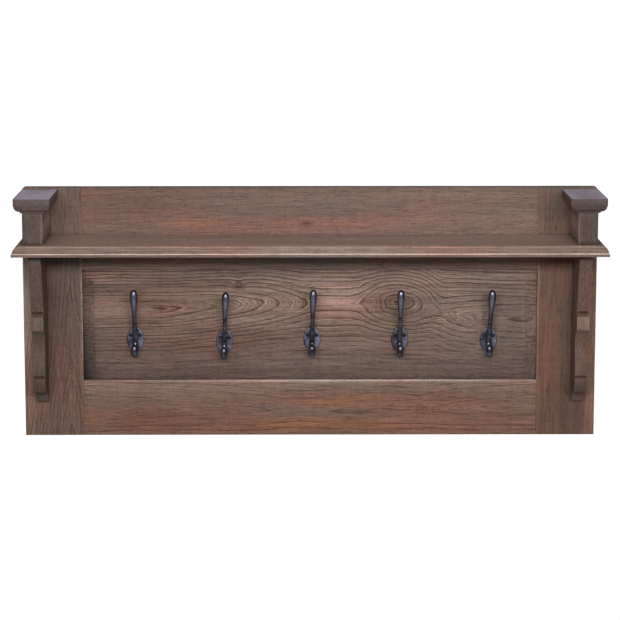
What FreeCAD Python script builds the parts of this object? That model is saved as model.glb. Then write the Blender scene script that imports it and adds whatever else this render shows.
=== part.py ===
import FreeCAD, Part
import math
import os
import re
import Sketcher

# A wall coat rack: a frame-and-panel back, a moulded shelf on two corbels, two capped posts that stand on the
# shelf, and a row of cast hat-and-coat hooks. Units are millimetres.
#
# The origin is on the back face of the top rail, midway between the two keyhole hangers. +X runs to the right
# of someone facing the rack, +Y goes into the wall and +Z goes up, so the rack fills y from 0 to minus its
# depth.

V = FreeCAD.Vector
doc = FreeCAD.newDocument("CoatRack")

# ---------------------------------------------------------------- driving dimensions

DIMENSIONS = [
    ("frame_width", 1140),
    ("frame_height", 500),
    ("frame_thick", 22),
    ("frame_top", 60),
    ("frame_corner", 8),
    ("stile_width", 117),
    ("top_rail_height", 164),
    ("bottom_rail_height", 112),
    ("tenon_length", 40),
    ("tenon_thick", 8),
    ("tenon_margin", 20),
    ("mortise_spare", 1),
    ("groove_width", 6),
    ("groove_depth", 8),
    ("groove_back", 8),
    ("panel_play", 2),
    ("bevel_width", 24),
    ("field_step", 1),
    ("shelf_drop", 95),
    ("shelf_thick", 19.5),
    ("shelf_overhang", 3),
    ("shelf_depth", 178),
    ("shelf_lip", 6),
    ("shelf_moulding", 12),
    ("shelf_ovolo", 9),
    ("shelf_fillet", 2),
    ("quirk", 1),
    ("post_width", 38),
    ("post_depth", 146),
    ("post_height", 62),
    ("post_inset", 17),
    ("cap_width", 70),
    ("cap_depth", 162),
    ("cap_height", 29),
    ("cap_face", 15),
    ("cap_ovolo", 11),
    ("cap_curve", 14),
    ("corbel_thick", 24),
    ("edge_wear", 1.2),
    ("hook_pitch", 176),
    ("hook_shift", 4),
    ("hook_drop", 304.6),
    ("plate_width", 34),
    ("plate_height", 50),
    ("plate_thick", 3),
    ("plate_bevel", 1.2),
    ("hook_screw_side", 9),
    ("hook_screw_rise", 9),
    ("hook_screw_shank", 3.5),
    ("hook_screw_head", 7.6),
    ("hook_screw_length", 15),
    ("wood_screw_shank", 4),
    ("wood_screw_head", 8),
    ("wood_screw_length", 50),
    ("corbel_screw_length", 60),
    ("countersink", 2),
    ("dowel_diameter", 8),
    ("dowel_length", 30),
    ("dowel_sink", 12),
    ("hanger_spacing", 800),
    ("hanger_width", 18),
    ("hanger_below", 18.4),
    ("hanger_above", 27.6),
    ("hanger_thick", 1.5),
    ("keyhole_entry", 9),
    ("keyhole_slot", 4.6),
    ("keyhole_rise", 12),
    ("keyhole_pocket", 9),
    ("hanger_screw_edge", 2),
    ("hanger_screw_length", 16),
]

sheet = doc.addObject("Spreadsheet::Sheet", "Sizes")
for row, (alias, number) in enumerate(DIMENSIONS, start=1):
    sheet.set("A%d" % row, alias.replace("_", " "))
    sheet.set("B%d" % row, str(number))
    sheet.setAlias("B%d" % row, alias)
doc.recompute()


def cells(formula):
    """The formula with each alias written as a cell of the sheet."""
    return re.sub(r"[a-z][a-z_]+", r"Sizes.\g<0>", str(formula))


def value(formula):
    """The formula's number now, for starting geometry and for shapes made with Part's own functions."""
    return float(sheet.evalExpression(cells(formula)))


def bind(item, **formulas):
    """Ties properties of an object to the sheet. A double underscore in a name stands for a dot."""
    for name, formula in formulas.items():
        item.setExpression(name.replace("__", "."), cells(formula))
    return item


def place(item, along=0, out=0, up=0):
    """Puts an object at x = along, y = -out from the wall and z = up."""
    return bind(item, Placement__Base__x=along, Placement__Base__y="0 - (%s)" % out, Placement__Base__z=up)


# Heights above the origin that several pieces share.
SHELF_TOP = "frame_top - shelf_drop"
SHELF_UNDER = "frame_top - shelf_drop - shelf_thick"
FRAME_BOTTOM = "frame_top - frame_height"
OPENING_TOP = "frame_top - top_rail_height"
OPENING_BOTTOM = "frame_top - frame_height + bottom_rail_height"
OPENING_SIDE = "(frame_width / 2 - stile_width)"
POST_CENTRE = "(frame_width / 2 - post_inset - post_width / 2)"
CAP_UNDER = "frame_top - shelf_drop + post_height"

# ---------------------------------------------------------------- sketches and features


def sketch_on(body, role, lift=0):
    """A sketch on one of the body's own origin planes, lifted off it along its normal."""
    sketch = body.newObject("Sketcher::SketchObject", body.Name + "Sketch")
    plane = next(item for item in body.Origin.OriginFeatures if item.Role == role)
    sketch.AttachmentSupport = [(plane, "")]
    sketch.MapMode = "FlatFace"
    return bind(sketch, AttachmentOffset__Base__z=lift)


def fixed_at(sketch, edge, end, corner):
    """Dimensions one end of an edge from the sketch's origin, with formulas for both distances."""
    for kind, formula in zip(("DistanceX", "DistanceY"), corner):
        index = sketch.addConstraint(Sketcher.Constraint(kind, -1, 1, edge, end, value(formula)))
        sketch.setExpression("Constraints[%d]" % index, cells(formula))


def bent_edge(start, end, radius, turn):
    """The arc of a given radius from start to end, turning left or right on the way."""
    chord = end - start
    across = V(-chord.y, chord.x, 0).normalize()
    reach = math.sqrt(max(radius ** 2 - (chord.Length / 2) ** 2, 0))
    centre = (start + end) / 2 + across * (reach if turn == "left" else -reach)
    first, last = (start, end) if turn == "left" else (end, start)
    angles = [math.atan2(point.y - centre.y, point.x - centre.x) for point in (first, last)]
    return Part.ArcOfCircle(Part.Circle(centre, V(0, 0, 1), radius), *angles)


def outline(sketch, corners):
    """A closed outline. A corner is (x, y), or (x, y, radius, turn) where an arc leads on to the next one."""
    points = [V(value(corner[0]), value(corner[1]), 0) for corner in corners]
    first_edge = sketch.GeometryCount
    ends = []
    for index, corner in enumerate(corners):
        start, end = points[index], points[(index + 1) % len(points)]
        if len(corner) == 2:
            sketch.addGeometry(Part.LineSegment(start, end))
            ends.append((1, 2))
            continue
        radius, turn = corner[2:]
        edge = sketch.addGeometry(bent_edge(start, end, value(radius), turn))
        bend = sketch.addConstraint(Sketcher.Constraint("Radius", edge, value(radius)))
        sketch.setExpression("Constraints[%d]" % bend, cells(radius))
        ends.append((1, 2) if turn == "left" else (2, 1))
    for index, corner in enumerate(corners):
        following = (index + 1) % len(corners)
        joined = (first_edge + index, ends[index][1], first_edge + following, ends[following][0])
        sketch.addConstraint(Sketcher.Constraint("Coincident", *joined))
        fixed_at(sketch, first_edge + index, ends[index][0], corner)
    return sketch


def rectangle(sketch, left, right, bottom, top):
    return outline(sketch, [(left, bottom), (right, bottom), (right, top), (left, top)])


def new_body(label):
    body = doc.addObject("PartDesign::Body", label.title().replace("_", ""))
    body.Label = label
    return body


def pad(body, sketch, length, side="One side"):
    feature = body.newObject("PartDesign::Pad", body.Name + "Pad")
    feature.Profile = sketch
    feature.SideType = side
    return bind(feature, Length=length)


def pocket(body, sketch, length, side="One side", back=False):
    """A pocket that must take wood away: the volume before and after is compared."""
    doc.recompute()
    before = body.Shape.Volume
    feature = body.newObject("PartDesign::Pocket", body.Name + "Pocket")
    feature.Profile = sketch
    feature.SideType = side
    feature.Reversed = back
    bind(feature, Length=length)
    doc.recompute()
    if body.Shape.Volume >= before - 1e-6:
        raise RuntimeError("a pocket of %s cuts nothing" % body.Label)
    return feature


def soften(body, chosen, radius="edge_wear"):
    """Rounds the edges of the body's latest feature that the test picks."""
    doc.recompute()
    base = body.Tip
    names = ["Edge%d" % (index + 1) for index, edge in enumerate(base.Shape.Edges) if chosen(edge)]
    feature = body.newObject("PartDesign::Fillet", body.Name + "Fillet")
    feature.Base = (base, names)
    return bind(feature, Radius=radius)


# ---------------------------------------------------------------- the frame and its panel

SIDES = {"left": -1, "right": 1}
TENONS = {
    "top": ("%s + tenon_margin" % OPENING_TOP, "frame_top - tenon_margin"),
    "bottom": ("%s + tenon_margin" % FRAME_BOTTOM, "%s - tenon_margin" % OPENING_BOTTOM),
}
TENON_FRONT = "(frame_thick + tenon_thick) / 2"
TENON_BACK = "(frame_thick - tenon_thick) / 2"


def stile(side_name, side):
    """An upright: a rounded outer top corner, a mortise for each rail and a groove for the panel."""
    body = new_body("stile_%s_wood" % side_name)
    inner_edge = "%d * %s" % (side, OPENING_SIDE)
    face = rectangle(sketch_on(body, "XZ_Plane"), "%d * frame_width / 2" % side, inner_edge,
                     FRAME_BOTTOM, "frame_top")
    pad(body, face, "frame_thick")
    corner = V(side * value("frame_width / 2"), 0, value("frame_top"))

    def outer_top(edge):
        ends = [vertex.Point for vertex in edge.Vertexes]
        return all(abs(end.x - corner.x) < 0.01 and abs(end.z - corner.z) < 0.01 for end in ends)

    soften(body, outer_top, "frame_corner")
    for low, high in TENONS.values():
        mortise = rectangle(sketch_on(body, "YZ_Plane", inner_edge),
                            "0 - %s" % TENON_FRONT, "0 - %s" % TENON_BACK, low, high)
        pocket(body, mortise, "tenon_length + mortise_spare", back=side > 0)
    groove = rectangle(sketch_on(body, "YZ_Plane", inner_edge),
                       "0 - groove_back - groove_width", "0 - groove_back",
                       "%s - groove_depth" % OPENING_BOTTOM, "%s + groove_depth" % OPENING_TOP)
    pocket(body, groove, "groove_depth", back=side > 0)
    return body


def rail(name, low, high, groove_height, groove_up):
    """A crosspiece with a stub tenon at each end and a groove in the edge that faces the panel."""
    body = new_body("%s_rail_wood" % name)
    face = rectangle(sketch_on(body, "XZ_Plane"), "0 - %s" % OPENING_SIDE, OPENING_SIDE, low, high)
    pad(body, face, "frame_thick")
    tenon = rectangle(sketch_on(body, "XZ_Plane", TENON_BACK), "0 - %s - tenon_length" % OPENING_SIDE,
                      "%s + tenon_length" % OPENING_SIDE, *TENONS[name])
    pad(body, tenon, "tenon_thick")
    groove = rectangle(sketch_on(body, "XY_Plane", groove_height), "0 - %s" % OPENING_SIDE, OPENING_SIDE,
                       "0 - groove_back - groove_width", "0 - groove_back")
    pocket(body, groove, "groove_depth", back=groove_up)
    return body


def panel():
    """The raised panel: a thin edge that floats in the grooves, a bevel all round and a flat field."""
    body = new_body("panel_wood")
    reach = "(groove_depth - panel_play)"
    tongue = rectangle(sketch_on(body, "XZ_Plane", "groove_back"), "0 - %s - %s" % (OPENING_SIDE, reach),
                       "%s + %s" % (OPENING_SIDE, reach), "%s - %s" % (OPENING_BOTTOM, reach),
                       "%s + %s" % (OPENING_TOP, reach))
    pad(body, tongue, "groove_width")

    def ring(lift, inset):
        return rectangle(sketch_on(body, "XZ_Plane", lift), "%s - %s" % (inset, OPENING_SIDE),
                         "%s - %s" % (OPENING_SIDE, inset), "%s + %s" % (OPENING_BOTTOM, inset),
                         "%s - %s" % (OPENING_TOP, inset))

    bevel = body.newObject("PartDesign::AdditiveLoft", "PanelBevel")
    bevel.Profile = ring("groove_back + groove_width", "0")
    bevel.Sections = [ring("frame_thick - field_step", "bevel_width")]
    pad(body, ring("frame_thick - field_step", "bevel_width"), "field_step")
    return body


# ---------------------------------------------------------------- the shelf and what stands on and under it


def moulded_block(label, half_width, depth, front, waste):
    """A block with one moulding on its front and both ends: the front's section is padded along X, and the
    same moulding is then run along each end by cutting its waste away."""
    body = new_body(label)
    pad(body, outline(sketch_on(body, "YZ_Plane"), front), "2 * (%s)" % half_width, "Symmetric")
    for side in SIDES.values():
        turned = []
        for corner in waste:
            bend = corner[2:]
            if bend and side < 0:
                bend = (bend[0], {"left": "right", "right": "left"}[bend[1]])
            turned.append(("%d * (%s)" % (side, corner[0]), corner[1]) + tuple(bend))
        pocket(body, outline(sketch_on(body, "XZ_Plane"), turned), "3 * (%s)" % depth, "Symmetric")
    return body


def shelf():
    """The shelf, with its top at z = 0 and its back at y = 0 of its own frame."""
    half = "(frame_width / 2 + shelf_overhang)"
    round_foot = "0 - shelf_fillet - shelf_ovolo"
    ledge = "shelf_lip - shelf_thick"
    front = [
        ("0", "0"),
        ("shelf_moulding - shelf_depth", "0"),
        ("shelf_moulding - shelf_depth", "0 - shelf_fillet"),
        ("shelf_moulding - shelf_depth - quirk", "0 - shelf_fillet", "shelf_ovolo", "left"),
        ("shelf_moulding - shelf_depth - quirk - shelf_ovolo", round_foot),
        ("shelf_moulding - shelf_depth - quirk - shelf_ovolo", ledge),
        ("0 - shelf_depth", ledge),
        ("0 - shelf_depth", "0 - shelf_thick"),
        ("0", "0 - shelf_thick"),
    ]
    waste = [
        ("%s - shelf_moulding" % half, "quirk"),
        ("%s - shelf_moulding" % half, "0 - shelf_fillet"),
        ("%s - shelf_moulding + quirk" % half, "0 - shelf_fillet", "shelf_ovolo", "right"),
        ("%s - shelf_moulding + quirk + shelf_ovolo" % half, round_foot),
        ("%s - shelf_moulding + quirk + shelf_ovolo" % half, ledge),
        ("%s + quirk" % half, ledge),
        ("%s + quirk" % half, "quirk"),
    ]
    body = moulded_block("shelf_wood", half, "shelf_depth", front, waste)
    return place(body, 0, "frame_thick", SHELF_TOP)


def cap(side_name, side):
    """A post's cap: a plain face over an ovolo that draws in towards the post, with a small foot."""
    foot = "(quirk + cap_ovolo)"
    front = [
        ("0", "0"),
        ("0 - cap_depth", "0"),
        ("0 - cap_depth", "0 - cap_face"),
        ("quirk - cap_depth", "0 - cap_face", "cap_curve", "left"),
        ("%s - cap_depth" % foot, "0 - cap_face - cap_ovolo"),
        ("%s - cap_depth" % foot, "0 - cap_height"),
        ("0", "0 - cap_height"),
    ]
    waste = [
        ("cap_width / 2 + quirk", "0 - cap_face"),
        ("cap_width / 2 - quirk", "0 - cap_face", "cap_curve", "right"),
        ("cap_width / 2 - %s" % foot, "0 - cap_face - cap_ovolo"),
        ("cap_width / 2 - %s" % foot, "0 - cap_height - quirk"),
        ("cap_width / 2 + quirk", "0 - cap_height - quirk"),
    ]
    body = moulded_block("cap_%s_wood" % side_name, "cap_width / 2", "cap_depth", front, waste)
    return place(body, "%d * %s" % (side, POST_CENTRE), "frame_thick", "%s + cap_height" % CAP_UNDER)


def post(side_name, side):
    """A short wing of solid wood that stands on the shelf with its back to the frame."""
    body = new_body("post_%s_wood" % side_name)
    foot = rectangle(sketch_on(body, "XY_Plane"), "0 - post_width / 2", "post_width / 2",
                     "0 - post_depth", "0")
    pad(body, foot, "post_height")

    def front_corner(edge):
        ends = [vertex.Point for vertex in edge.Vertexes]
        return all(abs(end.y + value("post_depth")) < 0.01 for end in ends) and abs(ends[0].z - ends[1].z) > 1

    soften(body, front_corner)
    return place(body, "%d * %s" % (side, POST_CENTRE), "frame_thick", SHELF_TOP)


# The corbel's front, from the shelf down, as (out from the frame, down from the shelf) and the arc that leads
# on. A plain head and a long hollow sweep end in a deep nick. A square ledge stands under the nick, and a
# hollow runs below it to a last small ledge, from which a scroll curls back to the frame.
CORBEL_FRONT = [
    (122, 0),
    (122, 18, 480, "right"),
    (89, 112, 16, "left"),
    (78, 125),
    (92, 131),
    (92, 157, 42, "right"),
    (63, 192, 90, "right"),
    (69, 221),
    (69, 252),
    (64, 254),
    (74, 258, 34, "left"),
    (32, 290, 34, "right"),
    (13, 313.5),
]


def corbel(side_name, side):
    """A bracket cut from one board to the corbel's outline."""
    body = new_body("corbel_%s_wood" % side_name)
    front = [("%s" % -corner[0], "%s" % -corner[1]) + tuple(corner[2:]) for corner in CORBEL_FRONT]
    board = outline(sketch_on(body, "YZ_Plane"), [("0", "0")] + front + [("0", "%s" % -CORBEL_FRONT[-1][1])])
    pad(body, board, "corbel_thick", "Symmetric")
    return place(body, "%d * %s" % (side, POST_CENTRE), "frame_thick", SHELF_UNDER)


# ---------------------------------------------------------------- fasteners and pegs

# Turns that aim a fastener modelled along +Z with its head at z = 0.
AIMS = {
    "out": FreeCAD.Rotation(V(1, 0, 0), 90),
    "in": FreeCAD.Rotation(V(1, 0, 0), -90),
    "down": FreeCAD.Rotation(V(1, 0, 0), 180),
    "up": FreeCAD.Rotation(),
}


def screw(name, shank, head, length):
    """A countersunk screw: a cone for the head on a plain shank."""
    cone = bind(doc.addObject("Part::Cone", name + "Head"), Radius1="%s / 2" % head, Radius2="%s / 2" % shank,
                Height="countersink")
    stem = bind(doc.addObject("Part::Cylinder", name + "Shank"), Radius="%s / 2" % shank, Height=length)
    both = doc.addObject("Part::Fuse", name)
    both.Base = cone
    both.Tool = stem
    return both


def peg(name):
    return bind(doc.addObject("Part::Cylinder", name), Radius="dowel_diameter / 2", Height="dowel_length")


def group(label, members):
    compound = doc.addObject("Part::Compound", label.title().replace("_", ""))
    compound.Label = label
    compound.Links = members
    return compound


def set_of(label, master, aim, places):
    """Copies of one fastener at several places (along, out, up), as a group of separate solids."""
    copies = []
    for index, spot in enumerate(places):
        copy = doc.addObject("Part::Compound", "%s%d" % (label.title().replace("_", ""), index + 1))
        copy.Links = [master]
        copy.Placement = FreeCAD.Placement(V(), AIMS[aim])
        copies.append(place(copy, *spot))
    return group(label, copies)


def drilled(label, base, fasteners):
    """The piece with the holes that its fasteners fill."""
    cut = doc.addObject("Part::Cut", label.title().replace("_", ""))
    cut.Label = label
    cut.Base = base
    cut.Tool = fasteners[0] if len(fasteners) == 1 else group(label + "_holes", fasteners)
    return cut


POSTS = ["%d * %s" % (side, POST_CENTRE) for side in SIDES.values()]
SHELF_SCREW_PLACES = [-510, -380, -190, 0, 190, 380, 510]
CORBEL_SCREW_DROPS = [40, 226]
DOWEL_REACHES = [40, 110]

wood_screw = screw("WoodScrew", "wood_screw_shank", "wood_screw_head", "wood_screw_length")
long_screw = screw("LongScrew", "wood_screw_shank", "wood_screw_head", "corbel_screw_length")
hanger_screw = screw("HangerScrew", "hook_screw_shank", "hook_screw_head", "hanger_screw_length")
dowel = peg("Dowel")

shelf_screws = set_of("shelf_screws", wood_screw, "out",
                      [(along, "0", "%s - shelf_thick / 2" % SHELF_TOP) for along in SHELF_SCREW_PLACES])
post_screws = set_of("post_screws", wood_screw, "out",
                     [(along, "0", "%s + post_height / 2" % SHELF_TOP) for along in POSTS])
cap_screws = set_of("cap_screws", wood_screw, "out",
                    [(along, "0", "%s + cap_height / 2" % CAP_UNDER) for along in POSTS])
corbel_screws = set_of("corbel_screws", long_screw, "out",
                       [(along, "0", "%s - %g" % (SHELF_UNDER, drop))
                        for along in POSTS for drop in CORBEL_SCREW_DROPS])
corbel_top_screws = set_of("corbel_top_screws", wood_screw, "down",
                           [(along, "frame_thick + post_depth / 2", SHELF_TOP) for along in POSTS])
post_dowels = set_of("post_dowels", dowel, "up",
                     [(along, "frame_thick + %g" % reach, "%s - dowel_sink" % SHELF_TOP)
                      for along in POSTS for reach in DOWEL_REACHES])
cap_dowels = set_of("cap_dowels", dowel, "up",
                    [(along, "frame_thick + %g" % reach, "%s - dowel_length / 2" % CAP_UNDER)
                     for along in POSTS for reach in DOWEL_REACHES])

# ---------------------------------------------------------------- keyhole hangers

HANGERS = {name: "%d * hanger_spacing / 2" % side for name, side in SIDES.items()}
HANGER_LOW = "(hanger_width / 2 - hanger_below)"
HANGER_HIGH = "(hanger_above - hanger_width / 2)"


def rounded_strip(sketch, centre, width, low, high):
    """A strip with round ends, as a slot is: two straight sides and two half circles."""
    half = "%s / 2" % width
    left, right = "%s - %s" % (centre, half), "%s + %s" % (centre, half)
    first = sketch.GeometryCount
    spots = [V(value(left), value(low), 0), V(value(right), value(low), 0),
             V(value(right), value(high), 0), V(value(left), value(high), 0)]
    for index, centre_height in ((0, low), (2, high)):
        start, end = spots[index], spots[index + 1]
        arc = sketch.addGeometry(bent_edge(start, end, value(half), "left"))
        sketch.addGeometry(Part.LineSegment(end, spots[(index + 2) % 4]))
        middle = sketch.addConstraint(Sketcher.Constraint("DistanceY", -1, 1, arc, 3, value(centre_height)))
        sketch.setExpression("Constraints[%d]" % middle, cells(centre_height))
    for index, corner in enumerate([(left, low), (right, low), (right, high), (left, high)]):
        following = first + (index + 1) % 4
        sketch.addConstraint(Sketcher.Constraint("Coincident", first + index, 2, following, 1))
        fixed_at(sketch, first + index, 1, corner)
    return sketch


def hanger(name, centre):
    """A steel strip with a keyhole: the stud's head goes in at the round hole and slides up the slot."""
    body = new_body("hanger_%s_steel" % name)
    pad(body, rounded_strip(sketch_on(body, "XZ_Plane"), centre, "hanger_width", HANGER_LOW, HANGER_HIGH),
        "hanger_thick")
    slot = rounded_strip(sketch_on(body, "XZ_Plane"), centre, "keyhole_slot", "0", "keyhole_rise")
    pocket(body, slot, "3 * hanger_thick", "Symmetric")
    entry = sketch_on(body, "XZ_Plane")
    circle = entry.addGeometry(Part.Circle(V(value(centre), 0, 0), V(0, 0, 1), value("keyhole_entry / 2")))
    fixed_at(entry, circle, 3, (centre, "0"))
    size = entry.addConstraint(Sketcher.Constraint("Radius", circle, value("keyhole_entry / 2")))
    entry.setExpression("Constraints[%d]" % size, cells("keyhole_entry / 2"))
    pocket(body, entry, "3 * hanger_thick", "Symmetric")
    return body


HANGER_SCREW_HEIGHTS = ("%s - hanger_screw_edge" % HANGER_LOW, "%s + hanger_screw_edge" % HANGER_HIGH)
hanger_screws = set_of("hanger_screws", hanger_screw, "out",
                       [(centre, "0", height) for centre in HANGERS.values()
                        for height in HANGER_SCREW_HEIGHTS])

# ---------------------------------------------------------------- the hooks

# One shank runs from the upper tip, down past the plate's middle, where it is part of the plate, and round to
# the lower tip. Stations are (out from the panel, up from the plate's centre, radius of the round section).
SHANK = [(47.2, 106.7, 1.6), (46.6, 104.5, 4.2), (45, 99, 6.3), (42, 90, 6.6), (37.5, 76, 5.3), (31, 58, 4.4),
         (24, 38, 4.2), (16, 20, 4.6), (9, 6, 5.2), (6.8, -5, 5.4), (9.5, -16, 5), (15.5, -24.5, 4.7),
         (22, -28.6, 4.6), (28, -29.2, 4.7), (33.2, -26, 5.1), (36, -20, 5.9), (36.8, -14, 6.4),
         (36.6, -9, 5.6), (36.4, -6.4, 3.6), (36.3, -5.2, 1.4)]

# Small differences of hand fitting: how far along, how far down and with what lean in degrees each hook sits
# from its even place in the row.
HOOK_FITTING = [(0, 0, 0), (1.6, 5, 2.1), (0, 0, 1.2), (-1.3, 1, 0.3), (0.2, 1, 1.9)]


def round_arm(stations):
    """An arm lofted through circles, each square to the path through its neighbours."""
    rings = []
    for index, (out, up, radius) in enumerate(stations):
        before = stations[max(index - 1, 0)]
        after = stations[min(index + 1, len(stations) - 1)]
        lean = math.degrees(math.atan2(after[0] - before[0], after[1] - before[1]))
        ring = Part.Wire(Part.makeCircle(radius))
        ring.Placement = FreeCAD.Placement(V(0, -out, up), FreeCAD.Rotation(V(1, 0, 0), lean))
        rings.append(ring)
    return Part.makeLoft(rings, True)


def hook_casting():
    """One casting: an oval plate with a bevelled rim, and a shank with a long upper and a short lower arm."""
    half_height, half_width = value("plate_height / 2"), value("plate_width / 2")
    rim = Part.Ellipse(V(0, half_height, 0), V(half_width, 0, 0), V())
    plate = Part.Face(Part.Wire(rim.toShape())).extrude(V(0, 0, value("plate_thick")))
    front_rim = [edge for edge in plate.Edges if edge.BoundBox.ZMin > value("plate_thick") - 0.01]
    plate = plate.makeChamfer(value("plate_bevel"), front_rim)
    plate.Placement = FreeCAD.Placement(V(), FreeCAD.Rotation(V(1, 0, 0), 90))
    casting = doc.addObject("Part::Feature", "HookCasting")
    casting.Shape = plate.fuse(round_arm(SHANK))
    return casting


hook_screw = screw("HookScrew", "hook_screw_shank", "hook_screw_head", "hook_screw_length")
screw_pair = set_of("screw_pair", hook_screw, "in",
                    [("%d * hook_screw_side" % side, "plate_thick", "hook_screw_rise")
                     for side in SIDES.values()])
hook_master = drilled("hook_master", hook_casting(), [screw_pair])


def hung(label, master, index, fitting):
    """A copy of the hook, or of its screws, at its place in the row."""
    along, down, lean = fitting
    copy = doc.addObject("Part::Compound", label.title().replace("_", ""))
    copy.Label = label
    copy.Links = [master]
    copy.Placement = FreeCAD.Placement(V(), FreeCAD.Rotation(V(0, 1, 0), lean))
    steps = index - len(HOOK_FITTING) // 2
    return place(copy, "hook_shift + %d * hook_pitch + %g" % (steps, along), "frame_thick",
                 "frame_top - hook_drop - %g" % down)


hooks = [hung("hook_%d" % (index + 1), hook_master, index, fitting)
         for index, fitting in enumerate(HOOK_FITTING)]
hook_screws = group("hook_screws", [hung("hook_%d_screws" % (index + 1), screw_pair, index, fitting)
                                    for index, fitting in enumerate(HOOK_FITTING)])

# ---------------------------------------------------------------- assembly

top_rail = rail("top", OPENING_TOP, "frame_top", OPENING_TOP, True)
for centre in HANGERS.values():
    seat = rounded_strip(sketch_on(top_rail, "XZ_Plane"), centre, "hanger_width", HANGER_LOW, HANGER_HIGH)
    pocket(top_rail, seat, "hanger_thick", back=True)
    well = rounded_strip(sketch_on(top_rail, "XZ_Plane"), centre, "keyhole_entry", "0", "keyhole_rise")
    pocket(top_rail, well, "hanger_thick + keyhole_pocket", back=True)

bottom_rail = rail("bottom", FRAME_BOTTOM, OPENING_BOTTOM, OPENING_BOTTOM, False)
bottom_rail.Label = "bottom_rail"

pieces = [
    drilled("top_rail", top_rail, [shelf_screws, hanger_screws]),
    bottom_rail,
    drilled("raised_panel", panel(), [hook_screws]),
    drilled("shelf_board", shelf(), [shelf_screws, corbel_top_screws, post_dowels]),
    shelf_screws, post_screws, cap_screws, corbel_screws, corbel_top_screws, post_dowels, cap_dowels,
    hanger_screws, hook_screws,
] + hooks
for side_name, side in SIDES.items():
    back_screws = [shelf_screws, post_screws, cap_screws, corbel_screws]
    pieces += [
        drilled("stile_" + side_name, stile(side_name, side), back_screws),
        drilled("post_" + side_name, post(side_name, side), [post_screws, post_dowels, cap_dowels]),
        drilled("cap_" + side_name, cap(side_name, side), [cap_screws, cap_dowels]),
        drilled("corbel_" + side_name, corbel(side_name, side), [corbel_screws, corbel_top_screws]),
        drilled("hanger_plate_" + side_name, hanger(side_name, HANGERS[side_name]), [hanger_screws]),
    ]

doc.recompute()
for item in doc.Objects:
    if "Invalid" in item.State or "Error" in item.State:
        raise RuntimeError("%s failed: %s" % (item.Label, item.State))
os.makedirs("parts", exist_ok=True)
for piece in pieces:
    if piece.Shape.isNull() or not piece.Shape.isValid() or not piece.Shape.Solids:
        raise RuntimeError("%s has no valid solid" % piece.Label)
for piece in pieces:
    piece.Shape.exportStep("parts/%s.step" % piece.Label)
    box = piece.Shape.BoundBox
    print("%-20s %2d solids  x %.1f..%.1f  y %.1f..%.1f  z %.1f..%.1f" % (
        piece.Label, len(piece.Shape.Solids), box.XMin, box.XMax, box.YMin, box.YMax, box.ZMin, box.ZMax))
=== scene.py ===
# %% [markdown]
# # A wall coat rack with a shelf
# The CAD frame gives every piece its place and size. This lesson builds the looks around it: solid boards
# with brushed grain, moulded edges, worn corners and black cast hooks. Blender's lengths are in metres,
# +X runs to the right, +Y goes into the wall and +Z goes up. The pieces' own sizes are written in
# millimetres and multiplied by `MM` where Blender takes them.

# %% Load the frame
import math
from contextlib import contextmanager

import bmesh
import bpy
import numpy as np
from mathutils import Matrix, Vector, noise


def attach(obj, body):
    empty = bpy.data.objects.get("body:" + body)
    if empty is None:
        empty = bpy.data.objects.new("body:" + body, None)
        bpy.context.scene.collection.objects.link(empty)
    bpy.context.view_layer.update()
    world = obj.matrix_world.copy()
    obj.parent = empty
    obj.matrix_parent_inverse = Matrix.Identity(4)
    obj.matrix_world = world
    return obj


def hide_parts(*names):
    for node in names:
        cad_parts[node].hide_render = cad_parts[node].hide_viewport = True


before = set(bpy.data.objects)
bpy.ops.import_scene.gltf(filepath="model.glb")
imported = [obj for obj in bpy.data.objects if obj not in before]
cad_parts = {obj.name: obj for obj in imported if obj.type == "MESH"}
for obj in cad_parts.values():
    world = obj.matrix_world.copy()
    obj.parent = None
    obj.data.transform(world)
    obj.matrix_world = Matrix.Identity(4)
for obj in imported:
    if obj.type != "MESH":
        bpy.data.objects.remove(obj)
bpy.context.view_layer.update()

MM = 0.001

# %% [markdown]
# ## Camera
# The rack hangs at about chest height and is seen from slightly above, from far enough away that its ends
# barely converge. A long lens does that: the same framing from nearby would make the posts lean outwards.
# The direction from the camera to its target becomes a rotation with `to_track_quat`, which saves working
# out the angles by hand.

# %% Camera
EYE = Vector((-0.033, -4.813, 0.612))
TARGET = Vector((0.0, -0.022, -0.186))
SENSOR_WIDTH, LENS_LENGTH = 36, 141.6
FARTHEST_SEEN = 200

bpy.ops.object.select_all(action="DESELECT")
bpy.ops.object.camera_add(location=EYE)
camera = bpy.context.object
camera.rotation_euler = (TARGET - EYE).to_track_quat("-Z", "Y").to_euler()
camera.data.sensor_width = SENSOR_WIDTH
camera.data.lens = LENS_LENGTH
camera.data.clip_end = FARTHEST_SEEN
bpy.context.scene.camera = camera
bpy.context.scene.view_settings.view_transform = "Standard"
print("camera tilt", round(math.degrees(camera.rotation_euler.x) - 90, 2))

# %% [markdown]
# ## Helpers for shader nodes
# Every surface here is procedural, so most of the work is joining small nodes. These helpers add a node,
# fill its sockets with either numbers or other nodes' outputs, and return the output, so a material can
# be written like a formula.

# %% Shader helpers


def add(tree, kind, inputs=(), output=0, **settings):
    """Adds a node, sets its options, fills sockets with numbers or links, and returns one output."""
    item = tree.nodes.new(kind)
    for name, option in settings.items():
        setattr(item, name, option)
    for key, given in dict(inputs).items():
        if isinstance(given, bpy.types.NodeSocket):
            tree.links.new(given, item.inputs[key])
        else:
            item.inputs[key].default_value = given
    return item.outputs[output]


def calc(tree, operation, first, second=0.5, clamp=False):
    """Arithmetic on two values, such as ADD or FRACT. FRACT and FLOOR read only the first one."""
    return add(tree, "ShaderNodeMath", {0: first, 1: second}, operation=operation, use_clamp=clamp)


def times(tree, first, second, clamp=False):
    """The product of two values."""
    return calc(tree, "MULTIPLY", first, second, clamp)


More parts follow.
